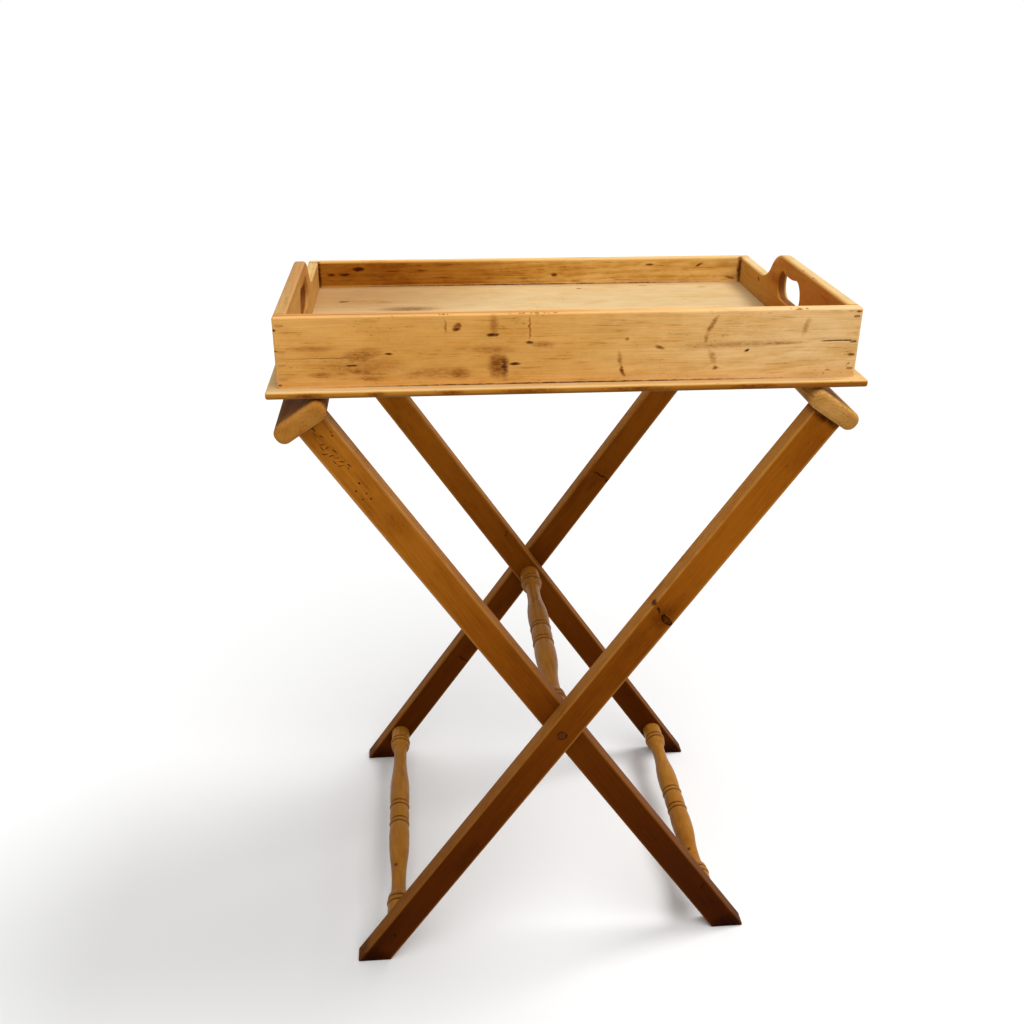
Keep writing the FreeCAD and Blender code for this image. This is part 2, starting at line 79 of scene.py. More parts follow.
class Tone(Enum):
    """What colour a mark on the wood takes: the wood's own tones, knots and dirt, and also painted shade and
    painted light.
    """

    # the wax colour: darker wood, and painted shade on the legs, the inner rail, the right end's inner face
    # and the far board
    WAX_AND_SHADE = "wax"
    # the pale edge colour: worn edges and paler wood, and painted light on the outer rail and the top of the
    # inner near leg
    PALE = "edge"
    BROWN = "knot"
    # the dirt colour: dirt, specks and scratches, and painted shade along the boards' feet, in the tray's
    # corners, on the rails and at the legs' heads
    DARK = "grime"


class Side(Enum):
    """Where a mark lies through the thickness of a piece and how far it reaches, both in half thicknesses."""

    FRONT = (1.0, 1.0)
    BACK = (-1.0, 1.0)
    THROUGH = (0.0, 60.0)
    CORE = (0.0, 0.95)


class Wave(Enum):
    """The noises in the wood: waves in a metre along the grain and across it, detail and its strength."""

    WANDER = (75.0, 170.0, 4.0, 0.62)
    SWAY = (1.6, 9.0, 2.0, 0.5)
    RIPPLE = (10.0, 70.0, 4.0, 0.65)
    FIBRE = (18.0, 850.0, 3.0, 0.65)
    CLOUD = (9.0, 24.0, 4.0, 0.62)
    PATCH = (30.0, 60.0, 5.0, 0.68)
    PEPPER = (210.0, 420.0, 3.0, 0.7)
    CLEAR = (2.4, 18.0, 2.0, 0.5)
    BAND = (2.2, 48.0, 4.0, 0.6)
    DASH = (26.0, 520.0, 2.0, 0.5)


@dataclass(frozen=True)
class Mark:
    """A knot, smudge, dash or stain, placed from the middle of its piece along the grain and across it.

    Length and height are half sizes. The slant, in degrees, leans the mark's length away from the grain.
    A knot also swirls the rings aside by a length, and a hollow share inside its bark may stay clear.
    """

    along: float
    across: float
    length: float
    height: float
    depth: float
    tone: Tone = Tone.BROWN
    slant: float = 0.0
    soft: float = 0.7
    side: Side = Side.FRONT
    swirl: float = 0.0
    hollow: float = 0.0


def spots(*rows: tuple[float, ...], tone: Tone = Tone.BROWN, soft: float = 1.0) -> tuple[Mark, ...]:
    """Give marks of one kind: the place, half sizes and depth of each and, where it leans, its slant."""
    return tuple(Mark(*row[:5], tone, *row[5:], soft=soft) for row in rows)


def knots(*rows: tuple[float, ...]) -> tuple[Mark, ...]:
    """Give knots: the place, half sizes, depth and swirl of each."""
    return tuple(Mark(*row[:5], swirl=row[5]) for row in rows)


@dataclass(frozen=True)
class Crack:
    """A fine split along the grain, from one place along it to another."""

    start: float
    end: float
    across: float
    slope: float = 0.0
    width: float = 0.0005
    depth: float = 0.9


@dataclass(frozen=True)
class Score:
    """A line of dirt in a groove round a turned piece, the same towards both ends."""

    along: float
    width: float = 0.0018
    depth: float = 0.9


@dataclass(frozen=True)
class Cut:
    """How one piece lies in the table and how it was sawn from the log.

    The grain runs along the piece's own x, its width along y, and its face along z.
    """

    middle: Triple
    grain: Triple
    face: Triple
    half: Triple
    saw: Saw = Saw.FLAT
    seed: float = 0.0
    drift: tuple[float, float] = (0.02, 0.05)
    marks: tuple[Mark, ...] = ()
    cracks: tuple[Crack, ...] = ()
    scores: tuple[Score, ...] = ()
    ogee: tuple[float, float, float] | None = None

    def turn(self) -> Triple:
        """Lay the piece's own axes along its grain, width and face.

        Returns:
            The Euler turn that does so.
        """
        grain, face = Vector(self.grain).normalized(), Vector(self.face).normalized()
        axes = Matrix((grain, face.cross(grain), face)).transposed()
        return tuple(axes.to_euler("XYZ"))


@dataclass(frozen=True)
class Timber:
    """One finish of the timber: its tones, its rings and its polish."""

    early: Colour
    late: Colour
    streak: Colour
    # also the colour of the painted shade that the warm marks soak in
    wax: Colour
    knot: Colour
    # also the colour of the painted shade in creases, corners and under the rails
    grime: Colour
    edge: Colour
    ring: float = 0.0046
    contrast: float = 0.4
    streaks: float = 0.35
    dashes: float = 0.4
    mottle: float = 0.35
    worn: float = 0.5
    # how pale the narrow faces are painted: partly worn wood, partly painted light
    sides_worn_and_lit: float = 0.0
    dirt: float = 0.35
    roughness: float = 0.5
    gloss: float = 0.05
    relief: float = 0.45


HONEY = Timber(
    early=(0.92, 0.485, 0.145),
    late=(0.68, 0.298, 0.055),
    streak=(0.72, 0.328, 0.066),
    wax=(0.56, 0.239, 0.033),
    knot=(0.20, 0.058, 0.009),
    grime=(0.05, 0.014, 0.003),
    edge=(0.95, 0.60, 0.27),
    streaks=0.26,
    dashes=0.22,
    sides_worn_and_lit=0.15,
)
DULL = replace(
    HONEY,
    early=(0.65, 0.455, 0.19),
    late=(0.53, 0.285, 0.07),
    streak=(0.55, 0.305, 0.08),
    edge=(0.83, 0.58, 0.29),
)
SCRUBBED = Timber(
    early=(0.69, 0.495, 0.258),
    late=(0.58, 0.36, 0.14),
    streak=(0.60, 0.39, 0.16),
    wax=(0.50, 0.205, 0.024),
    knot=(0.20, 0.075, 0.02),
    grime=(0.07, 0.028, 0.009),
    edge=(0.92, 0.60, 0.26),
    ring=0.0054,
    contrast=0.24,
    streaks=0.16,
    dashes=0.22,
    mottle=0.25,
    dirt=0.4,
    roughness=0.58,
)
AMBER = Timber(
    early=(0.84, 0.53, 0.17),
    late=(0.52, 0.235, 0.038),
    streak=(0.56, 0.27, 0.045),
    wax=(0.26, 0.075, 0.004),
    knot=(0.10, 0.026, 0.004),
    grime=(0.04, 0.011, 0.002),
    edge=(0.92, 0.58, 0.24),
    contrast=0.5,
    mottle=0.45,
    sides_worn_and_lit=0.7,
)
STAIN = Timber(
    early=(0.425, 0.131, 0.0075),
    late=(0.26, 0.064, 0.0026),
    streak=(0.27, 0.068, 0.003),
    wax=(0.085, 0.017, 0.0005),
    knot=(0.045, 0.009, 0.0006),
    grime=(0.022, 0.005, 0.0005),
    edge=(0.62, 0.295, 0.066),
    ring=0.0038,
    contrast=0.16,
    streaks=0.22,
    dashes=0.10,
    mottle=0.15,
    worn=0.6,
    sides_worn_and_lit=0.45,
    dirt=0.25,
    roughness=0.48,
    gloss=0.015,
    relief=0.3,
)
RAIL = Timber(
    early=(0.63, 0.30, 0.066),
    late=(0.44, 0.175, 0.026),
    streak=(0.47, 0.19, 0.03),
    wax=(0.20, 0.06, 0.005),
    knot=(0.09, 0.025, 0.004),
    grime=(0.04, 0.012, 0.002),
    edge=(0.66, 0.34, 0.09),
    ring=0.0036,
    contrast=0.7,
    worn=0.2,
    roughness=0.6,
    gloss=0.015,
    relief=0.35,
)
TURNED = Timber(
    early=(0.365, 0.152, 0.018),
    late=(0.22, 0.072, 0.007),
    streak=(0.24, 0.08, 0.0075),
    wax=(0.15, 0.04, 0.003),
    knot=(0.06, 0.015, 0.002),
    grime=(0.04, 0.012, 0.002),
    edge=(0.46, 0.21, 0.045),
    ring=0.0036,
    contrast=0.25,
    streaks=0.22,
    dashes=0.07,
    worn=0.0,
    roughness=0.26,
    gloss=0.055,
    relief=0.25,
)


class Graph:
    """A hand for wiring the nodes of a tree."""

    def __init__(self, tree: bpy.types.NodeTree) -> None:
        """Take up a tree."""
        self.tree = tree

    def node(self, kind: str, *sources: Number | tuple, **settings: object) -> bpy.types.Node:
        """Add a node.

        Args:
            kind: the node's type.
            sources: what goes into its inputs, from the first one on.
            settings: properties of the node to set.

        Returns:
            The new node.
        """
        made = self.tree.nodes.new(kind)
        for key, setting in settings.items():
            setattr(made, key, setting)
        for socket, source in zip(made.inputs, sources):
            self.feed(socket, source)
        return made

    def feed(self, socket: Socket, source: Number | tuple) -> None:
        """Link a socket to an output, or set what it holds.

        Args:
            socket: the socket.
            source: the output, or the number, vector or colour.
        """
        if isinstance(source, bpy.types.NodeSocket):
            self.tree.links.new(source, socket)
            return
        wide = isinstance(source, tuple) and socket.type == "RGBA"
        socket.default_value = (*source, 1.0) if wide else source

    def number(self, operation: str, *sources: Number) -> Socket:
        """Work out a number from others with a Math node and give its socket."""
        return self.node("ShaderNodeMath", *sources, operation=operation).outputs[0]

    def times(self, first: Number, second: Number) -> Socket:
        """Multiply two numbers."""
        return self.number("MULTIPLY", first, second)

    def more(self, source: Number, share: float, start: Number) -> Socket:
        """Add a share of a number to a start."""
        return self.number("MULTIPLY_ADD", source, share, start)

    def apart(self, first: Number, second: Number) -> Socket:
        """Give how far two numbers are apart."""
        return self.number("ABSOLUTE", self.number("SUBTRACT", first, second))

    def vector(self, operation: str, *sources: Socket | Triple) -> Socket:
        """Work out a vector from others and give its socket."""
        return self.node("ShaderNodeVectorMath", *sources, operation=operation).outputs[0]

    def mapped(self, place: Socket, middle: Triple, turn: Triple, size: Triple = (1.0, 1.0, 1.0)) -> Socket:
        """Give a place in a frame of its own, with that middle, Euler turn and size."""
        return self.node("ShaderNodeMapping", place, middle, turn, size, vector_type="TEXTURE").outputs[0]

    def far(self, place: Socket, middle: Triple, slant: float, size: Triple) -> Socket:
        """Measure how far a place is from a slanted spot of those half sizes, whose outline is at 1."""
        turned = self.mapped(place, middle, (0.0, 0.0, math.radians(slant)), size)
        return self.node("ShaderNodeVectorMath", turned, operation="LENGTH").outputs["Value"]

    def split(self, source: Socket) -> tuple[Socket, Socket, Socket]:
        """Give the three parts of a vector."""
        return tuple(self.node("ShaderNodeSeparateXYZ", source).outputs)

    def span(self, source: Number, low: float, high: float, start: float = 0.0, end: float = 1.0) -> Socket:
        """Ease from start to end while a number goes from low to high."""
        ease = {"interpolation_type": "SMOOTHSTEP"}
        return self.node("ShaderNodeMapRange", source, low, high, start, end, **ease).outputs[0]

    def noise(self, place: Socket, size: Triple, detail: float = 2.0, rough: float = 0.5) -> bpy.types.Node:
        """Add a noise with so many waves in a metre each way, and finer ones in so many steps, so strong."""
        waves, depth, scale = self.vector("MULTIPLY", place, size), 0.0, 1.0
        return self.node("ShaderNodeTexNoise", waves, depth, scale, detail, rough)

    def mix(self, share: Number, first: Socket | Colour, second: Socket | Colour, way: str = "MIX") -> Socket:
        """Mix two colours.

        Args:
            share: how much of the second colour there is.
            first: the first colour.
            second: the second colour.
            way: the blend type.

        Returns:
            The mixed colour's socket.
        """
        made = self.node("ShaderNodeMix", data_type="RGBA", blend_type=way)
        self.feed(made.inputs[0], share)
        self.feed(made.inputs[6], first)
        self.feed(made.inputs[7], second)
        return made.outputs[2]

    def grey(self, level: Socket) -> Socket:
        """Make a grey colour of a number."""
        return self.node("ShaderNodeCombineColor", level, level, level).outputs[0]


class Paint(Graph):
    """A hand for wiring one material."""

    def __init__(self, name: str) -> None:
        """Start a material with a Principled shader.

        Args:
            name: the material's name.
        """
        self.material = bpy.data.materials.new(name)
        self.material.use_nodes = True
        super().__init__(self.material.node_tree)
        self.shader = self.tree.nodes["Principled BSDF"]

    def place(self, way: str = "Object") -> Socket:
        """Give the place on a piece, in the table's frame or on the piece's own map."""
        return self.node("ShaderNodeTexCoord").outputs[way]

    def coat(self, colour: Socket, roughness: Number, gloss: float) -> None:
        """Give the shader its colour, its roughness and its gloss."""
        for name, source in (("Base Color", colour), ("Roughness", roughness), ("Specular IOR Level", gloss)):
            self.feed(self.shader.inputs[name], source)

    def bump(self, height: Socket, strength: float, distance: float) -> None:
        """Raise the shader's surface.

        Args:
            height: the height from place to place.
            strength: how much of it shows.
            distance: how far a height of 1 is, in metres.
        """
        made = self.node("ShaderNodeBump")
        for name, source in (("Strength", strength), ("Distance", distance), ("Height", height)):
            self.feed(made.inputs[name], source)
        self.feed(self.shader.inputs["Normal"], made.outputs[0])


class TimberWork:
    """Wires the rings, fibres, knots, marks, dirt and wear of one wooden piece.

    A mark of a broad area or more is an even tint; a smaller dark one is speckled. The bark of a hollow knot
    begins at a share of the hollow, and the heart is what is left of the knot inside it. A swirl reaches out
    to so many sizes of its knot. A crack is sharp between two shares of its width, and its ends run out over
    two shares of its length.
    """

    broad: float = 0.002
    bark: float = 0.7
    heart: float = 0.2
    swirl_reach: float = 3.0
    crack_sharp: tuple[float, float] = (0.4, 1.6)
    crack_fade: tuple[float, float] = (0.35, 0.07)
    strewing: Triple = (1.37, 2.71, 0.83)
    ragged_by: Triple = (0.0062, 0.0027, 0.0)
    sway_by: Triple = (0.0, 0.03, 0.03)
    ripple_by: float = 0.004
    relief: float = 0.0004

    def __init__(self, name: str, timber: Timber, cut: Cut) -> None:
        """Set out the piece's own frame.

        Args:
            name: the material's name.
            timber: the finish.
            cut: how the piece was sawn.
        """
        g = Paint(name)
        self.timber = timber
        self.cut = cut
        self.graph = g
        self.place = g.mapped(g.place(), cut.middle, cut.turn())
        self.strewn = g.vector("ADD", self.place, tuple(cut.seed * way for way in self.strewing))
        self.ragged = self.shifted(Wave.WANDER, self.ragged_by)
        self.along, self.across, self.deep = g.split(self.place)

    def wave(self, wave: Wave) -> bpy.types.Node:
        """Add one of the noises in the wood."""
        along, across, detail, rough = wave.value
        return self.graph.noise(self.strewn, (along, across, across), detail, rough)

    def shifted(self, wave: Wave, reach: Triple) -> Socket:
        """Shift the place on the piece to and fro by a noise.

        Args:
            wave: the noise.
            reach: how far it shifts along the grain, the width and the face.

        Returns:
            The shifted place's socket.
        """
        g = self.graph
        swing = g.vector("SUBTRACT", self.wave(wave).outputs[1], (0.5, 0.5, 0.5))
        return g.vector("ADD", self.place, g.vector("MULTIPLY", swing, reach))

    def marks(self, speckle: Socket) -> tuple[Number, dict[Tone, Number]]:
        """Wire the knots and the marks.

        Args:
            speckle: how strong a small dark mark is from place to place.

        Returns:
            How far the knots push the rings aside, and how strong the marks of each tone are.
        """
        g = self.graph
        push: Number = 0.0
        strong: dict[Tone, Number] = {}
        for mark in self.cut.marks:
            place, reach = (share * self.cut.half[2] for share in mark.side.value)
            middle, size = (mark.along, mark.across, place), (mark.length, mark.height, reach)
            far = g.far(self.ragged, middle, mark.slant, size)
            here = g.span(far, 1.0 - mark.soft, 1.0, mark.depth, 0.0)
            if mark.hollow:
                bark = g.span(far, mark.hollow * self.bark, mark.hollow, self.heart, 1.0)
                here = g.times(here, bark)
            if mark.tone in (Tone.BROWN, Tone.DARK) and mark.length * mark.height < self.broad:
                here = g.times(here, speckle)
            strong[mark.tone] = g.number("MAXIMUM", here, strong.get(mark.tone, 0.0))
            if mark.swirl:
                bell = g.span(far, 0.0, self.swirl_reach, mark.swirl, 0.0)
                push = g.number("ADD", bell, push)
        return push, strong

    def cracks(self) -> Number:
        """Wire the splits.

        Returns:
            How deep they are.
        """
        g = self.graph
        deep: Number = 0.0
        for crack in self.cut.cracks:
            along, across, _ = g.split(self.ragged)
            off = g.apart(across, g.more(along, crack.slope, crack.across))
            thin = g.span(off, *(crack.width * share for share in self.crack_sharp), crack.depth, 0.0)
            run, stop = ((crack.end - crack.start) * share for share in self.crack_fade)
            opens = g.span(along, crack.start, crack.start + run)
            closes = g.span(along, crack.end - stop, crack.end, 1.0, 0.0)
            deep = g.number("MAXIMUM", deep, g.times(thin, g.times(opens, closes)))
        return deep

    def scores(self) -> Number:
        """Wire the dark lines in the turned grooves.

        Returns:
            How strong they are.
        """
        g = self.graph
        strong: Number = 0.0
        for score in self.cut.scores:
            off = g.apart(g.number("ABSOLUTE", self.along), score.along)
            line = g.span(off, 0.0, score.width, score.depth, 0.0)
            strong = g.number("MAXIMUM", line, strong)
        return strong

    def rim(self) -> tuple[Socket, Socket, Socket]:
        """Measure how near a place is to the outside of the piece.

        Returns:
            How far it is from the nearest edge, from the sides and from the end grain.
        """
        g = self.graph
        ends = g.number("SUBTRACT", self.cut.half[0], g.number("ABSOLUTE", self.along))
        if self.cut.ogee:
            foot, head, drop = self.cut.ogee
            top = g.span(self.along, head, foot, self.cut.half[1], self.cut.half[1] - drop)
            sides = g.apart(top, self.across)
        else:
            sides = g.number("SUBTRACT", self.cut.half[1], g.number("ABSOLUTE", self.across))
        faces = g.number("SUBTRACT", self.cut.half[2], g.number("ABSOLUTE", self.deep))
        pairs = [g.number("MAXIMUM", *pair) for pair in ((ends, sides), (sides, faces), (ends, faces))]
        return g.number("MINIMUM", g.number("MINIMUM", pairs[0], pairs[1]), pairs[2]), sides, ends

    def rings(self, push: Number) -> Socket:
        """Wire the year rings.

        Args:
            push: how far the knots push the rings aside.

        Returns:
            The share of dark late wood.
        """
        g, cut = self.graph, self.cut
        _, wide, thick = g.split(self.shifted(Wave.SWAY, self.sway_by))
        wide = g.number("ADD", g.more(self.along, cut.drift[0], wide), -cut.saw.value[0])
        thick = g.number("ADD", g.more(self.along, cut.drift[1], thick), -cut.saw.value[1])
        squares = g.number("ADD", g.times(wide, wide), g.times(thick, thick))
        years = g.number("ADD", g.number("SQRT", squares), push)
        years = g.more(self.wave(Wave.RIPPLE).outputs[0], self.ripple_by, years)
        year = g.number("FRACT", g.number("DIVIDE", years, self.timber.ring))
        return g.times(g.span(year, 0.25, 0.9), g.span(year, 0.92, 1.0, 1.0, 0.0))

    def soak(self, colour: Socket | Colour, level: Socket, tone: Colour) -> Socket:
        """Soak a tone into the wood, deeper and warmer the more of it there is.

        Args:
            colour: the wood's colour so far.
            level: how much of the tone there is.
            tone: the colour that bare early wood takes on where there is all of it.

        Returns:
            The soaked colour's socket.
        """
        g = self.graph
        parts = (g.number("POWER", full / bare, level) for full, bare in zip(tone, self.timber.early))
        return g.mix(1.0, colour, g.node("ShaderNodeCombineColor", *parts).outputs[0], "MULTIPLY")

    def build(self) -> bpy.types.Material:
        """Wire the whole finish.

        Returns:
            The material.
        """
        g, timber = self.graph, self.timber
        kinds = (Wave.FIBRE, Wave.CLOUD, Wave.PATCH, Wave.PEPPER, Wave.CLEAR, Wave.BAND, Wave.DASH)
        fibre, cloud, patch, pepper, clear, band, dash = (self.wave(kind).outputs[0] for kind in kinds)
        speckle = g.span(pepper, 0.32, 0.6, 0.45, 1.15)
        speckle = g.times(g.span(fibre, 0.3, 0.62, 0.55, 1.08), speckle)
        push, strong = self.marks(speckle)

        late = self.rings(push)
        clear = g.times(g.span(clear, 0.3, 0.72, 0.25, 1.0), g.span(patch, 0.3, 0.65, 0.35, 1.0))
        rings = g.times(g.times(late, clear), timber.contrast)
        colour = self.soak(timber.early, rings, timber.late)
        band = g.times(g.span(band, 0.45, 0.75), timber.streaks)
        band = g.number("ADD", band, g.span(patch, 0.35, 0.75, 0.0, timber.mottle))
        colour = self.soak(colour, band, timber.streak)
        waxed = g.times(g.span(cloud, 0.46, 0.76), timber.streaks)
        colour = self.soak(colour, waxed, timber.wax)
        dash = g.times(g.span(dash, 0.57, 0.72), g.span(patch, 0.42, 0.62, 0.1, 1.0))
        colour = self.soak(colour, g.times(dash, timber.dashes), timber.knot)

        colour = g.mix(1.0, colour, g.grey(g.span(fibre, 0.3, 0.7, 0.90, 1.08)), "MULTIPLY")

        edge, sides, ends = self.rim()
        bare = g.span(edge, 0.0004, 0.0032, timber.worn, 0.0)
        # The narrow faces are painted pale as well: partly worn wood, partly painted light.
        bare = g.number("MAXIMUM", bare, g.span(sides, 0.001, 0.004, timber.sides_worn_and_lit, 0.0))
        colour = g.mix(g.times(bare, g.span(patch, 0.3, 0.6, 0.4, 1.0)), colour, timber.edge)
        colour = g.mix(g.span(ends, 0.0008, 0.0024, 0.4, 0.0), colour, timber.late)
        soot = g.times(g.span(pepper, 0.62, 0.72), g.span(cloud, 0.42, 0.68))
        soot = g.times(soot, timber.dirt)
        colour = self.soak(colour, soot, timber.grime)
        # The painted shade of the warm marks is lighter on the pale edges and narrow faces.
        if Tone.WAX_AND_SHADE in strong:
            strong[Tone.WAX_AND_SHADE] = g.times(strong[Tone.WAX_AND_SHADE], g.span(bare, 0.0, 1.0, 1.0, 0.35))
        for tone, level in strong.items():
            colour = self.soak(colour, level, getattr(timber, tone.value))
        split = self.cracks()
        if self.cut.cracks:
            colour = self.soak(colour, split, timber.grime)
        if self.cut.scores:
            colour = self.soak(colour, self.scores(), timber.grime)

        polish = g.more(g.number("SUBTRACT", cloud, 0.5), 0.2, timber.roughness)
        for level, share in ((late, -0.05), (soot, 0.2), (fibre, 0.06)):
            polish = g.more(level, share, polish)
        g.coat(colour, polish, timber.gloss)

        grooves = strong.get(Tone.DARK, 0.0)
        height = g.times(late, 0.2)
        for level, share in ((fibre, 0.3), (patch, 0.6), (dash, -0.2), (grooves, -0.4), (split, -1.8)):
            height = g.more(level, share, height)
        g.bump(height, timber.relief, self.relief)
        return g.material


@dataclass(frozen=True)
class Iron:
    """Dull dark iron of the brads and the tacks; wax fills over a share of it, most on the left."""

    dark: Colour = (0.048, 0.015, 0.005)
    rust: Colour = (0.40, 0.165, 0.042)
    filler: Colour = (0.62, 0.29, 0.08)
    filled: float = 0.0
    gloss: float = 0.08

    def build(self, name: str) -> bpy.types.Material:
        """Wire the iron.

        Args:
            name: the material's name.

        Returns:
            The material.
        """
        g = Paint(name)
        place = g.place()
        waves = ((700.0, 4.0, 0.7), (60.0, 1.0, 0.5), (1900.0, 2.0, 0.5))
        bloom, damp, pits = (g.noise(place, (size,) * 3, *finer).outputs[0] for size, *finer in waves)
        rusty = g.number("ADD", bloom, g.number("SUBTRACT", damp, 0.5))
        colour = g.mix(g.span(rusty, 0.34, 0.60), self.dark, self.rust)
        share = g.span(g.split(place)[0], -0.2, 0.2, self.filled, self.filled * 0.3)
        g.coat(g.mix(share, colour, self.filler), g.span(bloom, 0.3, 0.7, 0.55, 0.85), self.gloss)
        g.bump(pits, 0.4, 0.0002)
        return g.material


@dataclass(frozen=True)
class Webbing:
    """Plain-woven jute webbing, patterned along its own length and width."""

    pale: Colour = (0.47, 0.33, 0.175)
    shade: Colour = (0.22, 0.135, 0.06)
    line: Colour = (0.10, 0.055, 0.025)
    thread: float = 0.0017
    line_in: float = 0.0075
    roughness: float = 0.92
    gloss: float = 0.15

    def build(self, name: str, width: float, length: float) -> bpy.types.Material:
        """Wire the webbing.

        Args:
            name: the material's name.
            width: the width of the strap.
            length: the length of the strap.

        Returns:
            The material.
        """
        g = Paint(name)
        flat = g.vector("MULTIPLY", g.place("UV"), (length, width, 0.0))
        threads = 1.0 / self.thread
        along, across, _ = g.split(g.vector("MULTIPLY", flat, (threads, threads, 0.0)))
        waves = (g.number("SINE", g.times(way, math.pi)) for way in (across, along))
        warp, weft = (g.number("ABSOLUTE", wave) for wave in waves)
        turn = g.number("ADD", g.number("FLOOR", along), g.number("FLOOR", across))
        over = g.number("PINGPONG", turn, 1.0)
        under = g.number("SUBTRACT", 1.0, over)
        top = g.number("ADD", g.times(warp, over), g.times(weft, under))
        fuzz = g.noise(flat, (900.0, 900.0, 1.0), 4.0, 0.7).outputs[0]
        tint = g.noise(flat, (30.0, 60.0, 1.0), 3.0).outputs[0]
        raised = g.times(top, g.span(fuzz, 0.3, 0.7, 0.6, 1.1))
        colour = g.mix(g.span(raised, 0.15, 0.95), self.shade, self.pale)
        _, place, _ = g.split(flat)
        off = g.apart(g.apart(place, width / 2), width / 2 - self.line_in)
        colour = g.mix(g.span(off, 0.0008, 0.0014, 0.7, 0.0), colour, self.line)
        colour = g.mix(1.0, colour, g.grey(g.span(tint, 0.3, 0.7, 0.8, 1.08)), "MULTIPLY")
        g.coat(colour, self.roughness, self.gloss)
        g.bump(g.more(fuzz, 0.35, top), 0.9, 0.0005)
        return g.material


def dress(node: str, material: bpy.types.Material) -> None:
    """Give a carried-over node its finish in every slot.

    Args:
        node: the node.
        material: the finish.
    """
    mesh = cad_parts[node].data
    mesh.materials.clear()
    mesh.materials.append(material)
    LOG.info("%s: %s", node, material.name)


def board(node: str, name: str, timber: Timber, cut: Cut) -> None:
    """Give a carried-over wooden node a finish of its own, wired for the way that it was cut."""
    dress(node, TimberWork(name, timber, cut).build())


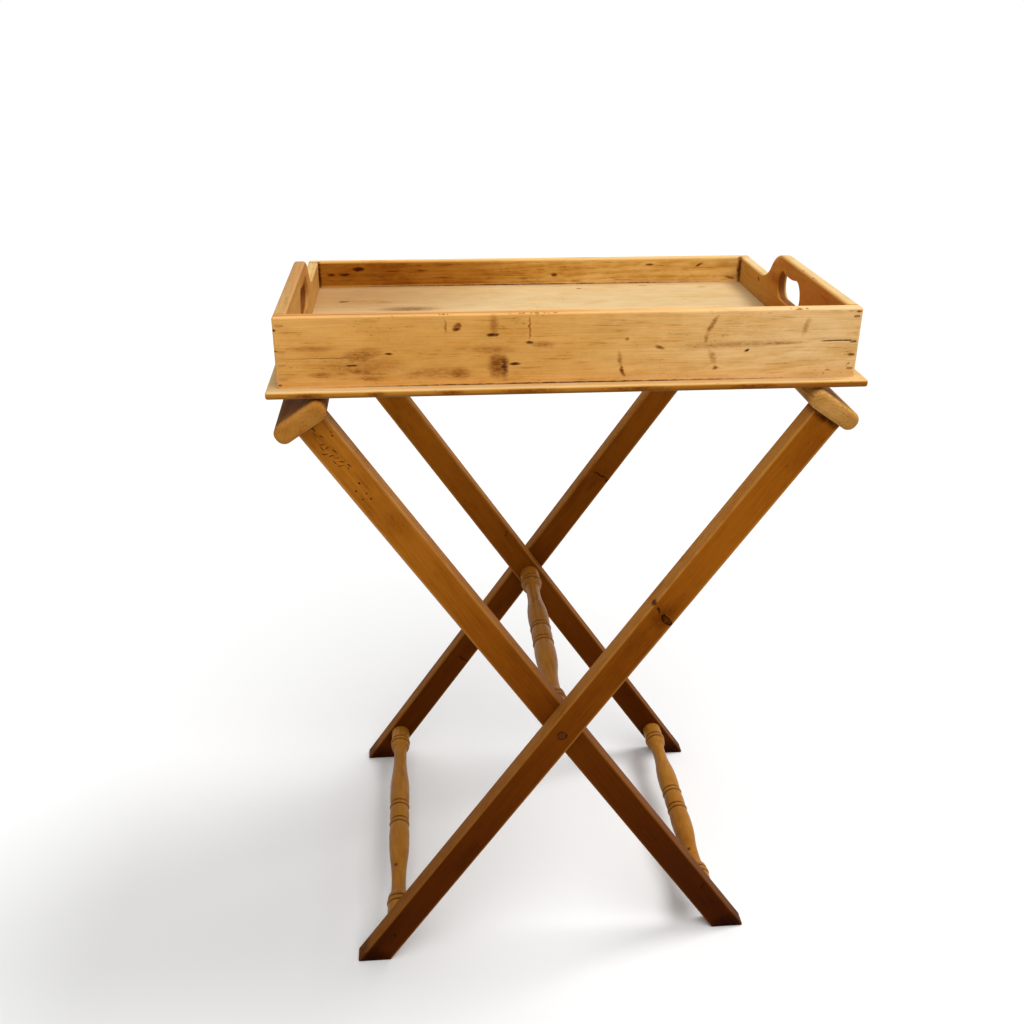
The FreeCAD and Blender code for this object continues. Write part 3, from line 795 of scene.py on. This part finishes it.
@dataclass
class Tray:
    """The tray: four boards on three base boards, held by cut brads."""

    length: float = 0.600
    depth: float = 0.422
    tall: float = 0.074
    low: float = 0.034
    board: float = 0.013
    under: float = 0.78069
    base: float = 0.008
    lip: float = 0.0115
    ogee_setback: float = 0.107
    ogee_run: float = 0.080
    tall_brads: tuple[float, ...] = (0.13, 0.33, 0.52, 0.88)
    low_brads: tuple[float, ...] = (0.28, 0.72)

    @property
    def floor(self) -> float:
        """Give the height of the top of the base."""
        return self.under + self.base

    def rust(self, height: float, shares: tuple[float, ...]) -> tuple[Mark, ...]:
        """Stain the wood round the corner brads.

        Args:
            height: the board's height.
            shares: the brads' heights as shares of it.

        Returns:
            The stains.
        """
        corner = self.length / 2 - self.board / 2
        return tuple(
            Mark(end * corner, height * (share - 0.5), 0.0052, 0.0018, 0.55, Tone.BROWN, soft=0.7)
            for end in End
            for share in shares
        )

    def tall_side(self) -> Cut:
        """Set out the tall board, with the marks on its outer face.

        Returns:
            The cut.
        """
        foot = -self.tall / 2
        specks = (
            (-0.134, 0.0016), (-0.1303, 0.003), (-0.1258, 0.0013), (-0.054, 0.002), (-0.05, 0.0032),
            (-0.0418, 0.0016), (-0.0372, 0.0041), (-0.0297, 0.0022), (-0.0255, 0.0014), (-0.0185, 0.0036),
            (0.2235, 0.0017), (0.241, 0.0026),
        )
        soft = spots(
            (-0.1285, 0.025, 0.002, 0.01, 0.5), (-0.08, 0.026, 0.0065, 0.014, 0.38),
            (-0.03, 0.0045, 0.017, 0.0045, 0.45), (-0.08, 0.0, 0.035, 0.006, 0.3),
            (-0.116, -0.024, 0.015, 0.0095, 0.5), (-0.158, -0.0235, 0.015, 0.005, 0.35),
            (-0.216, -0.005, 0.03, 0.011, 0.42, 8.0), (-0.218, -0.0205, 0.03, 0.0045, 0.5, -3.0),
            (-0.206, -0.0275, 0.024, 0.0045, 0.38), (-0.262, 0.004, 0.035, 0.004, 0.28),
            (-0.215, -0.015, 0.062, 0.02, 0.24), (-0.142, -0.024, 0.048, 0.01, 0.26),
            (-0.255, -0.023, 0.02, 0.004, 0.35), (0.288, 0.034, 0.008, 0.001, 0.7),
            (0.2915, -0.0225, 0.003, 0.0018, 0.7, 30.0), (0.27, -0.029, 0.006, 0.0012, 0.5),
            (0.143, 0.0225, 0.013, 0.0036, 0.9, 60.0), (0.138, 0.008, 0.01, 0.0034, 0.35, 80.0),
            (0.0495, -0.013, 0.012, 0.0036, 0.45, -80.0), (0.09, -0.001, 0.0075, 0.0025, 0.85, -18.0),
            (0.056, 0.0085, 0.0032, 0.0027, 0.55), (0.1455, -0.012, 0.013, 0.0042, 0.36, -66.0),
            (0.2415, 0.018, 0.014, 0.0044, 0.34, 72.0), (0.175, 0.001, 0.085, 0.005, 0.34, 1.5),
            (0.215, 0.0012, 0.042, 0.0026, 0.55, 1.0), (0.232, -foot - 0.0005, 0.0075, 0.0011, 0.7, 6.0),
            *((x, -foot, size, 0.0012, 0.75) for x, size in specks),
        )
        crisp = spots(
            (-0.0442, 0.0065, 0.005, 0.002, 1.0), (-0.059, -0.0155, 0.0075, 0.0022, 1.0),
            (-0.225, -0.0138, 0.0075, 0.0018, 0.9), (0.1815, -0.0058, 0.0042, 0.0019, 1.0, 28.0),
            (-0.2985, 0.0235, 0.0024, 0.0018, 0.9), (-0.299, 0.002, 0.0024, 0.0012, 0.8),
            # (0.0, foot, ...) is painted shade along the board's foot, where it meets the base
            (-0.2965, -0.0335, 0.003, 0.0016, 0.8), (0.0, foot, 0.31, 0.0018, 0.85),
            tone=Tone.DARK,
            soft=0.9,
        )
        marks = (
            Mark(-0.118, 0.024, 0.0066, 0.0042, 0.95, swirl=0.006, soft=0.6, slant=40.0),
            Mark(-0.082, 0.0152, 0.008, 0.0026, 1.0, Tone.DARK, soft=0.9, swirl=0.003),
            Mark(-0.0436, 0.021, 0.0016, 0.0165, 0.65, soft=0.9),
            Mark(-0.077, -0.017, 0.012, 0.017, 0.75, soft=0.8),
            Mark(0.295, 0.0335, 0.004, 0.0016, 0.9, Tone.DARK, soft=0.8),
            *spots(
                (-0.1165, 0.0215, 0.004, 0.0022, 0.7), (-0.069, -0.0185, 0.006, 0.016, 0.6),
                (-0.187, -0.0025, 0.0065, 0.0017, 0.7),
                tone=Tone.DARK,
            ),
            Mark(0.0522, -0.0255, 0.0085, 0.003, 1.0, slant=-72.0, soft=0.9),
            Mark(0.15, -0.0241, 0.0044, 0.0027, 1.0, soft=0.9, swirl=0.003),
            Mark(-0.25, -foot, 0.45, 0.008, 0.4, side=Side.CORE, soft=1.0),
            Mark(-0.12, 0.0, 0.36, 0.08, 0.32, Tone.WAX_AND_SHADE, soft=1.0),
            Mark(0.27, 0.0, 0.36, 0.12, 1.0, Tone.PALE, soft=1.0, side=Side.THROUGH),
        )
        return Cut(
            middle=(0.0, self.board / 2 - self.depth / 2, self.floor + self.tall / 2),
            grain=(1.0, 0.0, 0.0),
            face=(0.0, -1.0, 0.0),
            half=(self.length / 2, self.tall / 2, self.board / 2),
            saw=Saw.FLAT,
            seed=3.1,
            drift=(0.015, 0.035),
            marks=soft + crisp + marks + self.rust(self.tall, self.tall_brads),
            cracks=(
                Crack(0.256, 0.292, -0.0019, 0.0168, 0.0005, 0.9),
                Crack(-0.30, -0.21, -0.0050, 0.004, 0.0003, 0.3),
            ),
        )

    def low_side(self) -> Cut:
        """Set out the low board.

        Returns:
            The cut.
        """
        marks = (
            *knots(
                (-0.2345, 0.0068, 0.0095, 0.0038, 1.0, 0.004), (0.16, 0.008, 0.007, 0.002, 0.8, 0.003),
                (0.03, -0.004, 0.006, 0.003, 0.7, 0.004),
            ),
            *spots(
                (-0.252, 0.0, 0.011, 0.003, 0.85), (-0.27, 0.0, 0.008, 0.0026, 0.9),
                (-0.15, 0.004, 0.012, 0.0024, 0.5),
            ),
            Mark(0.274, -0.011, 0.01, 0.0028, 0.6, slant=-12.0, soft=0.9),
            Mark(0.2293, 0.0073, 0.007, 0.0022, 0.7, slant=25.0),
            # Darker towards the left end: partly darker wood, partly painted shade.
            Mark(-0.22, 0.0, 0.32, 0.08, 0.66, Tone.WAX_AND_SHADE, soft=1.0),
            # Painted shade along the foot, where the board meets the base.
            Mark(0.0, -self.low / 2, 0.31, 0.0018, 0.8, Tone.DARK, soft=0.9, side=Side.THROUGH),
            # Painted shade in the tray's inside corners.
            *spots((-0.2865, 0.0, 0.0036, 0.04, 0.6), (0.2865, 0.0, 0.005, 0.04, 0.75), tone=Tone.DARK),
        )
        return Cut(
            middle=(0.0, self.depth / 2 - self.board / 2, self.floor + self.low / 2),
            grain=(1.0, 0.0, 0.0),
            face=(0.0, -1.0, 0.0),
            half=(self.length / 2, self.low / 2, self.board / 2),
            saw=Saw.RIFT,
            seed=11.7,
            marks=marks + self.rust(self.low, self.low_brads),
        )

    def end(self, side: End) -> Cut:
        """Set out an end board.

        Args:
            side: the end that it closes.

        Returns:
            The cut.
        """
        foot = self.depth / 2 - self.ogee_setback
        top = self.tall / 2
        own = (
            Mark(0.0, 0.0, 0.6, 0.2, 0.3, Tone.WAX_AND_SHADE, soft=1.0),
            Mark(0.0, 0.0, 0.6, 0.2, 0.3, Tone.PALE, soft=1.0),
            Mark(-0.01, 0.004, 0.09, 0.036, 0.7, soft=1.0),
            Mark(0.0, 0.0, 0.6, 0.2, 0.14, soft=1.0),
            Mark(0.0, top, 0.5, 0.02, 0.28, side=Side.THROUGH, soft=1.0),
        ) if side is End.LEFT else (
            # Painted shade on the right end's inner face, which faces away from the light.
            Mark(-0.12, 0.0, 0.5, 0.2, 1.45, Tone.WAX_AND_SHADE, soft=1.0, side=Side.BACK),
            *(
                Mark(along, top, 0.0036, 0.0014, 0.75, soft=1.0, side=Side.BACK)
                for along in (-0.05, -0.085, -0.094)
            ),
        )
        marks = (
            Mark(side * 0.11, -0.012, 0.0055, 0.004, 0.7, side=Side.THROUGH, swirl=0.006),
            Mark(-0.145, 0.012 * side, 0.005, 0.0022, 0.8, side=Side.THROUGH, swirl=0.003),
            Mark(0.045, 0.004, 0.03, 0.012, 0.35, soft=1.0, side=Side.THROUGH),
            Mark(-0.02, -0.022, 0.08, 0.006, 0.3, soft=1.0, side=Side.THROUGH),
            # Painted shade along the foot, where the board meets the base.
            Mark(0.0, -self.tall / 2, 0.21, 0.0016, 0.75, Tone.DARK, soft=0.9, side=Side.THROUGH),
            # Painted shade in the corner by the low board.
            Mark(0.198, -0.02, 0.007, 0.03, 0.55, Tone.DARK, soft=1.0, side=Side.THROUGH),
            Mark(-0.007, 0.0026, 0.075, 0.034, 0.85, side=Side.CORE, soft=0.3),
        )
        return Cut(
            middle=(side * (self.length / 2 - self.board / 2), 0.0, self.floor + self.tall / 2),
            grain=(0.0, 1.0, 0.0),
            face=(1.0, 0.0, 0.0),
            half=(self.depth / 2 - self.board, self.tall / 2, self.board / 2),
            saw=Saw.SLAB if side is End.LEFT else Saw.FLAT,
            seed=21.3 + side,
            marks=marks + own,
            ogee=(foot, foot - self.ogee_run, self.tall - self.low),
        )

    def plank(self, row: int) -> Cut:
        """Set out a base board.

        Args:
            row: its row, 0 at the tall side.

        Returns:
            The cut.
        """
        wide = (self.depth + 2 * self.lip) / 3
        half = wide / 2
        lip = (
            Mark(0.0, -half, 1.2, 0.007, 1.0, Tone.WAX_AND_SHADE, side=Side.CORE, soft=0.7),
            Mark(0.3, -half, 0.4, 0.007, 0.3, side=Side.CORE, soft=1.0),
            Mark(0.0, -half, 1.2, 0.018, 0.45, Tone.PALE, soft=0.6),
            Mark(0.0, -half, 1.2, 0.004, 0.55, Tone.DARK, side=Side.BACK, soft=0.9),
            *(
                Mark(along, -half, length, 0.0055, 0.72, side=Side.CORE, soft=1.0)
                for along, length in (
                    (-0.27, 0.022), (-0.2, 0.014), (-0.125, 0.02),
                    (-0.045, 0.045), (0.07, 0.055), (0.19, 0.05),
                )
            ),
        )
        marks = (
            lip + knots((-0.16, 0.03, 0.006, 0.004, 0.8, 0.005), (0.2, 0.02, 0.005, 0.003, 0.8, 0.004)),
            (
                *knots((0.23, 0.03, 0.007, 0.005, 0.8, 0.006), (-0.04, -0.02, 0.006, 0.0035, 0.8, 0.005)),
                *spots((-0.24, 0.0, 0.24, 0.14, 0.34), (0.12, -0.03, 0.05, 0.02, 0.25)),
                Mark(-0.15, 0.05, 0.04, 0.007, 0.5, Tone.DARK, soft=1.0),
            ),
            (
                *knots(
                    (-0.251, -0.0255, 0.0105, 0.005, 1.35, 0.005), (-0.226, -0.018, 0.008, 0.003, 0.5, 0.004),
                    (0.06, 0.024, 0.005, 0.003, 0.8, 0.004),
                ),
                *spots((0.2282, 0.0239, 0.007, 0.0018, 0.6), (0.15, 0.035, 0.008, 0.0018, 0.7), soft=0.7),
                Mark(-0.24, 0.0, 0.24, 0.14, 0.34, soft=1.0),
                Mark(-0.168, -0.066, 0.05, 0.017, 0.42, Tone.DARK, soft=1.0),
            ),
        )
        return Cut(
            middle=(0.0, (row - 1) * wide, self.under + self.base / 2),
            grain=(1.0, 0.0, 0.0),
            face=(0.0, 0.0, 1.0),
            half=(self.length / 2 + self.lip, half, self.base / 2),
            saw=(Saw.FLAT, Saw.SLAB, Saw.RIFT)[row],
            seed=31.9 + 4.3 * row,
            drift=(0.01, 0.03 - 0.03 * row),
            marks=marks[row],
        )

    def dress(self, iron: bpy.types.Material) -> None:
        """Finish the tray's boards and brads.

        Args:
            iron: the brads' finish.
        """
        board("tray_tall_side", "honey_tall_side", HONEY, self.tall_side())
        board("tray_low_side", "amber_low_side", AMBER, self.low_side())
        for side, sides_worn_and_lit in ((End.LEFT, 0.0), (End.RIGHT, 0.8)):
            name = f"{side.name.lower()}_end"
            board(f"tray_{name}", f"dull_{name}", replace(DULL, sides_worn_and_lit=sides_worn_and_lit), self.end(side))
        for row, name in enumerate(("near", "middle", "far")):
            board(f"tray_base_{name}", f"scrubbed_base_{name}", SCRUBBED, self.plank(row))
        for node in ("corner_brads", "base_brads"):
            dress(node, iron)


@dataclass
class Stand:
    """The folding stand: two crossed frames and their turned stretchers.

    The shades give, for each frame and side, how far the painted shade round a leg's foot reaches and how
    deep it is.
    """

    pivot: float = 0.3495
    lean: float = math.radians(55.6)
    above: float = 0.4825
    below: float = 0.4236
    leg_width: float = 0.036
    leg_thick: float = 0.022
    outer_y: float = 0.2115
    inner_y: float = 0.1889
    pin: float = 0.005
    rail_width: float = 0.061
    rail_thick: float = 0.021
    rail_length: float = 0.460
    drop: float = 0.365
    turned: float = 0.0161
    barrel: float = 0.0146
    bead: float = 0.0082
    collar: float = 0.0236
    strap_y: float = 0.115
    shades: ClassVar[dict[tuple[Hand, Flank], tuple[float, float]]] = {
        (Hand.OUTER, Flank.NEAR): (0.88, 1.10),
        (Hand.INNER, Flank.NEAR): (0.84, 1.25),
        (Hand.OUTER, Flank.FAR): (1.05, 0.95),
        (Hand.INNER, Flank.FAR): (0.78, 1.07),
    }

    def up(self, hand: Hand) -> Vector:
        """Give the direction up a frame's legs."""
        return Vector((hand * math.cos(self.lean), 0.0, math.sin(self.lean)))

    def leg_marks(self, hand: Hand, side: Flank) -> tuple[Mark, ...]:
        """Give the marks on a leg, placed up it from the pivot.

        Args:
            hand: the leg's frame.
            side: the leg's side of the table.

        Returns:
            The marks.
        """
        reach, depth = self.shades[hand, side]
        # Painted shade: the leg is darker towards its foot, and the far legs, under the tray, darker nearly
        # all over.
        shade = Mark(-0.43, 0.0, reach, 0.5, depth, Tone.WAX_AND_SHADE, soft=1.0, side=Side.THROUGH)
        if (hand, side) == (Hand.OUTER, Flank.NEAR):
            return (
                shade,
                Mark(0.55, 0.0, 0.6, 0.5, 0.14, Tone.WAX_AND_SHADE, soft=1.0, side=Side.THROUGH),
                Mark(0.1941, -0.0078, 0.0108, 0.0044, 1.0, Tone.DARK, 70.0, 0.25, swirl=0.006, hollow=0.72),
                Mark(0.1941, -0.0078, 0.009, 0.0032, 0.3, slant=70.0, soft=0.5),
                *spots(
                    (0.1994, 0.008, 0.0065, 0.0026, 0.85, 60.0), (0.204, 0.018, 0.0055, 0.004, 0.8),
                    (-0.371, 0.001, 0.0042, 0.0026, 0.45, 35.0),
                    tone=Tone.DARK,
                ),
                Mark(0.195, -0.002, 0.026, 0.018, 0.25, soft=1.0),
            )
        if (hand, side) == (Hand.INNER, Flank.NEAR):
            scratches = (
                (0.474, 0.001, 12.0), (0.468, 0.0035, 5.0), (0.462, -0.001, 20.0), (0.455, 0.0045, 65.0),
                (0.451, 0.007, 8.0), (0.448, 0.002, 70.0), (0.444, 0.0085, 58.0), (0.441, -0.002, 15.0),
                (0.438, 0.004, 62.0), (0.434, 0.0012, 75.0), (0.431, 0.006, 10.0), (0.428, -0.0005, 55.0),
                (0.424, 0.003, 66.0), (0.419, -0.0045, 20.0),
            )
            pricks = (
                (0.461, -0.0124), (0.457, -0.0103), (0.417, -0.0022), (0.397, 0.0), (0.391, 0.008),
                (0.383, 0.0006), (0.379, 0.008), (0.375, 0.0006),
            )
            return (
                shade,
                # Painted light: the top of the leg is paler.
                Mark(0.5, 0.0, 0.5, 0.5, 0.3, Tone.PALE, soft=1.0, side=Side.THROUGH),
                *(Mark(up, wide, 0.004, 0.0007, 0.95, Tone.DARK, slant) for up, wide, slant in scratches),
                *(Mark(up, wide, 0.0014, 0.0012, 0.95, Tone.DARK) for up, wide in pricks),
                Mark(-0.337, -0.01, 0.0085, 0.002, 0.55, Tone.DARK, slant=-50.0, soft=1.0),
            )
        if hand is Hand.OUTER:
            return (
                shade,
                Mark(0.1844, -0.002, 0.015, 0.0018, 0.95, Tone.DARK, slant=90.0, soft=0.8),
                Mark(0.183, -0.015, 0.0055, 0.0036, 0.6, Tone.DARK, soft=1.0),
                Mark(-0.1915, -0.007, 0.013, 0.0013, 0.9, Tone.DARK, slant=90.0, soft=0.9),
            )
        return shade, Mark(0.078, -0.0105, 0.0075, 0.0018, 0.6, slant=-60.0, soft=1.0, swirl=0.003)

    def leg(self, hand: Hand, side: Flank) -> Cut:
        """Set out a leg.

        Args:
            hand: the leg's frame.
            side: the leg's side of the table.

        Returns:
            The cut, whose middle is at the pivot.
        """
        y = side * (self.outer_y if hand is Hand.OUTER else self.inner_y)
        hole = Mark(0.0, 0.0, self.pin * 1.3, self.pin * 1.3, 0.9, Tone.DARK, soft=0.3, side=Side.THROUGH)
        foot = Mark(-self.below, 0.0, 0.03, 0.04, 0.5, Tone.DARK, soft=1.0, side=Side.THROUGH)
        # Painted shade at the head of the leg, under its rail.
        head = Mark(self.above, 0.0, 0.009, 0.04, 0.6, Tone.DARK, soft=1.0, side=Side.THROUGH)
        return Cut(
            middle=(0.0, y, self.pivot),
            grain=tuple(self.up(hand)),
            face=(0.0, -1.0, 0.0),
            half=(self.above, self.leg_width / 2, self.leg_thick / 2),
            saw=Saw.RIFT if side is Flank.NEAR else Saw.QUARTER,
            seed=53.0 + 5.0 * hand + 2.0 * side,
            drift=(0.008, 0.015 * side),
            marks=(hole, foot, head) + self.leg_marks(hand, side),
        )

    def rail(self, hand: Hand) -> Cut:
        """Set out a top rail.

        Args:
            hand: the rail's frame.

        Returns:
            The cut.
        """
        up = self.up(hand)
        middle = up * (self.above + self.rail_thick / 2) + Vector((0.0, 0.0, self.pivot))
        half = self.rail_length / 2
        # Painted shade darkens the rail's long faces under the tray, leaving its ends clear; the outer rail
        # is painted paler all over as painted light, the inner one darker as painted shade.
        shade, *tone = (0.14, 1.60, Tone.PALE) if hand is Hand.OUTER else (0.3, 0.10, Tone.WAX_AND_SHADE)
        return Cut(
            middle=tuple(middle),
            grain=(0.0, 1.0, 0.0),
            face=tuple(up),
            half=(half, self.rail_width / 2, self.rail_thick / 2),
            saw=Saw.SLAB,
            seed=71.0 + hand,
            marks=(
                Mark(0.04 * hand, 0.006, 0.006, 0.004, 0.7, swirl=0.004, side=Side.THROUGH),
                Mark(0.0, 0.0, half - 0.004, 0.5, shade, Tone.DARK, soft=0.06, side=Side.THROUGH),
                Mark(0.0, 0.0, self.rail_length, 0.5, *tone, soft=0.3, side=Side.THROUGH),
            ),
        )

    def stretcher(self, hand: Hand) -> Cut:
        """Set out a turned stretcher.

        Args:
            hand: the frame of a lower one, or neither for the centre one.

        Returns:
            The cut.
        """
        middle = self.up(hand) * (-self.drop if hand else 0.0) + Vector((0.0, 0.0, self.pivot))
        end = self.outer_y + self.leg_thick / 2
        inside = (self.outer_y if hand is Hand.OUTER else self.inner_y) - self.leg_thick / 2
        pins = tuple(
            Mark(side * end, 0.0, self.leg_thick, 0.06, 1.15, Tone.WAX_AND_SHADE, soft=0.3, side=Side.THROUGH)
            for side in Flank
        )
        knot = Mark(-0.11, 0.004, 0.005, 0.004, 0.7, swirl=0.004)
        neck = inside - self.collar
        grooves = (self.barrel, self.barrel + self.bead, neck, neck - self.bead)
        return Cut(
            middle=tuple(middle),
            grain=(0.0, 1.0, 0.0),
            face=(0.0, 0.0, 1.0),
            half=(end, self.turned, self.turned),
            saw=Saw.BOXED,
            seed=83.0 + 3.0 * hand,
            drift=(0.01, 0.02),
            marks=(knot,) if hand else pins,
            scores=tuple(Score(groove) for groove in grooves),
        )

    def dress(self, iron: bpy.types.Material) -> None:
        """Finish the stand's wood and tacks.

        Args:
            iron: the tacks' finish.
        """
        # The outer legs' narrow faces are painted paler than the inner ones', partly as painted light.
        for hand, stain in ((Hand.OUTER, replace(STAIN, sides_worn_and_lit=0.7)), (Hand.INNER, STAIN)):
            name = hand.name.lower()
            for side in Flank:
                leg = f"{name}_{side.name.lower()}_leg"
                board(leg, f"stain_{leg}", stain, self.leg(hand, side))
            board(f"{name}_top_rail", f"stain_{name}_rail", RAIL, self.rail(hand))
            board(f"{name}_lower_stretcher", f"turned_{name}_stretcher", TURNED, self.stretcher(hand))
            dress(f"{name}_strap_tacks", iron)
        board("centre_stretcher", "turned_centre_stretcher", TURNED, self.stretcher(Hand.NEITHER))


@dataclass
class Strap:
    """A webbing strap that lies over both top rails and is tacked to them."""

    name: str
    y: float
    stand: Stand
    width: float = 0.050
    thick: float = 0.0016
    gap: float = 0.0003
    rail_round: float = 0.00945
    landing: float = 0.024
    blended: float = 0.75
    crease: float = math.radians(40.0)
    folds: int = 3
    columns: int = 10

    def __post_init__(self) -> None:
        """Work out the bend over a rail's rounded edge and the rows of the weave that it folds on."""
        up = self.stand.up(Hand.OUTER)
        reach = self.stand.above + self.stand.rail_thick - self.rail_round
        offset = self.stand.rail_width / 2 - self.rail_round
        bend = self.rail_round + self.gap + self.thick / 2
        self.fold = (math.pi / 2 - self.stand.lean) / self.folds
        edge = bend * math.tan(self.fold / 2)
        first = reach * up.x - offset * up.z + edge
        self.height = self.stand.pivot + reach * up.z + offset * up.x + bend
        self.rows = round(first / (2 * edge))
        self.row = first / self.rows
        self.tail = round((self.landing - edge) / self.row)

    @property
    def length(self) -> float:
        """Give the strap's flat length."""
        return 2 * (self.rows + self.folds - 1 + self.tail) * self.row

    def weave(self) -> bpy.types.Object:
        """Lay the strap out flat at the height of the rails, as a grid with its own map.

        Returns:
            The flat strap.
        """
        bpy.ops.object.select_all(action="DESELECT")
        bpy.ops.mesh.primitive_grid_add(
            x_subdivisions=round(self.length / self.row),
            y_subdivisions=self.columns,
            size=1.0,
            calc_uvs=True,
            location=(0.0, self.y, self.height),
        )
        strap = bpy.context.active_object
        strap.name = self.name
        strap.scale = (self.length, self.width, 1.0)
        bpy.ops.object.transform_apply(location=True, rotation=True, scale=True)
        return strap

    def fold_ends(self, strap: bpy.types.Object) -> None:
        """Fold both ends down over the rails, the outermost row first.

        Args:
            strap: the flat strap.
        """
        bpy.context.tool_settings.mesh_select_mode = (True, False, False)
        for end in End:
            for step in reversed(range(self.folds)):
                hinge = (self.rows + step) * self.row
                bpy.ops.object.mode_set(mode="EDIT")
                bpy.ops.mesh.select_all(action="DESELECT")
                bpy.ops.object.mode_set(mode="OBJECT")
                for vertex in strap.data.vertices:
                    vertex.select = end * vertex.co.x > hinge + self.row / 4
                bpy.ops.object.mode_set(mode="EDIT")
                bpy.ops.transform.rotate(
                    value=-end * self.fold,
                    orient_axis="Y",
                    orient_type="GLOBAL",
                    center_override=(end * hinge, self.y, self.height),
                )
                bpy.ops.object.mode_set(mode="OBJECT")

    def build(self) -> bpy.types.Object:
        """Weave the strap, fold it over the rails and give it its thickness.

        Returns:
            The finished strap.
        """
        strap = self.weave()
        self.fold_ends(strap)
        bpy.ops.object.modifier_add(type="SOLIDIFY")
        wall = strap.modifiers[-1]
        wall.thickness = self.thick
        wall.offset = 0.0
        bpy.ops.object.modifier_apply(modifier=wall.name)
        bpy.ops.object.shade_smooth_by_angle(angle=self.crease)
        strap.data.materials.clear()
        strap.data.materials.append(Webbing().build(f"jute_{self.name}", self.width, self.length))
        return strap

    def hang(self) -> None:
        """Put the strap in place of the plain one."""
        strap = self.build()
        node = self.name.removesuffix("_webbing")
        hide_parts(node)
        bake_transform(strap)
        LOG.info("%s: %.0f by %.0f mm", self.name, self.width * 1000, self.length * 1000)


@dataclass(frozen=True)
class Lamp:
    """A far lamp that shines from its place towards the table, as wide as its angle in degrees."""

    name: str
    place: Triple
    strength: float
    angle: float


@dataclass
class Studio:
    """The floor, the light and the camera."""

    camera_place: Triple = (-0.15363, -1.29204, 1.16359)
    yaw: float = 0.0857
    pitch: float = 0.4476
    roll: float = -0.0068
    focal: float = 1109.53 / 1024.0
    sensor: float = 36.0
    sky: float = 0.44
    lamps: tuple[Lamp, ...] = (
        Lamp("broad_lamp", (0.20, -0.60, 1.00), 1.5, 50.0),
        Lamp("side_lamp", (0.47, 0.16, 0.79), 1.5, 24.0),
    )
    floor_size: float = 30.0
    floor_seen: float = 0.87
    floor_bounce: float = 0.56
    floor_rough: float = 0.9
    floor_gap: float = 0.0004

    def seen(self, g: Graph) -> Socket:
        """Wire whether a ray shows the ground to the eye, straight, mirrored or through something.

        Args:
            g: the nodes of the floor or the sky.

        Returns:
            The socket, 1 for such a ray.
        """
        path = g.node("ShaderNodeLightPath")
        seen = path.outputs["Is Camera Ray"]
        for ray in ("Is Glossy Ray", "Is Transmission Ray"):
            seen = g.number("MAXIMUM", seen, path.outputs[ray])
        return seen

    def floor(self) -> None:
        """Lay a pale floor that keeps the table's shadow and shows white round it."""
        bpy.ops.object.select_all(action="DESELECT")
        bpy.ops.mesh.primitive_plane_add(size=self.floor_size, location=(0.0, 0.0, -self.floor_gap))
        floor = bpy.context.active_object
        floor.name = "pale_floor"
        bpy.ops.object.transform_apply(location=True)
        g = Paint("pale_floor")
        pale, dull = (self.floor_seen,) * 3, (self.floor_bounce,) * 3
        g.coat(g.mix(self.seen(g), dull, pale), self.floor_rough, 0.0)
        floor.data.materials.append(g.material)

    def light(self) -> None:
        """Set an even white sky, a broad lamp over the camera and a narrower one from the right."""
        world = bpy.context.scene.world or bpy.data.worlds.new("sky")
        bpy.context.scene.world = world
        world.use_nodes = True
        world.node_tree.nodes.clear()
        g = Graph(world.node_tree)
        white = (1.0, 1.0, 1.0)
        lit, shown = (g.node("ShaderNodeBackground", white, level).outputs[0] for level in (self.sky, 1.0))
        mixed = g.node("ShaderNodeMixShader", self.seen(g), lit, shown)
        g.node("ShaderNodeOutputWorld", mixed.outputs[0])
        for lamp in self.lamps:
            bpy.ops.object.light_add(type="SUN", location=lamp.place)
            sun = bpy.context.active_object
            sun.name = lamp.name
            sun.rotation_mode = "QUATERNION"
            sun.rotation_quaternion = Vector(lamp.place).to_track_quat("Z", "Y")
            sun.data.energy = lamp.strength
            sun.data.angle = math.radians(lamp.angle)

    def camera(self) -> None:
        """Set the camera at the photograph's place and angle."""
        data = bpy.data.cameras.new("camera")
        data.sensor_width = self.sensor
        data.lens = self.focal * self.sensor
        camera = bpy.data.objects.new("camera", data)
        bpy.context.scene.collection.objects.link(camera)
        camera.matrix_world = Matrix.Translation(self.camera_place)
        for angle, axis in ((-self.yaw, "Z"), (math.pi / 2 - self.pitch, "X"), (-self.roll, "Z")):
            camera.matrix_world = camera.matrix_world @ Matrix.Rotation(angle, 4, axis)
        bpy.context.scene.camera = camera

    def build(self) -> None:
        """Make the floor, the light and the camera."""
        bpy.context.scene.view_settings.view_transform = "Standard"
        self.camera()
        self.floor()
        self.light()


def main() -> None:
    """Build the studio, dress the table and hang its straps."""
    logging.basicConfig(level=logging.INFO, format="%(name)s %(message)s")
    Studio().build()
    Tray().dress(Iron(filled=0.93).build("waxed_iron"))
    stand = Stand()
    stand.dress(Iron().build("dull_iron"))
    for side in Flank:
        Strap(f"strap_{side.name.lower()}_webbing", side * stand.strap_y, stand).hang()


if __name__ == "__main__":
    main()
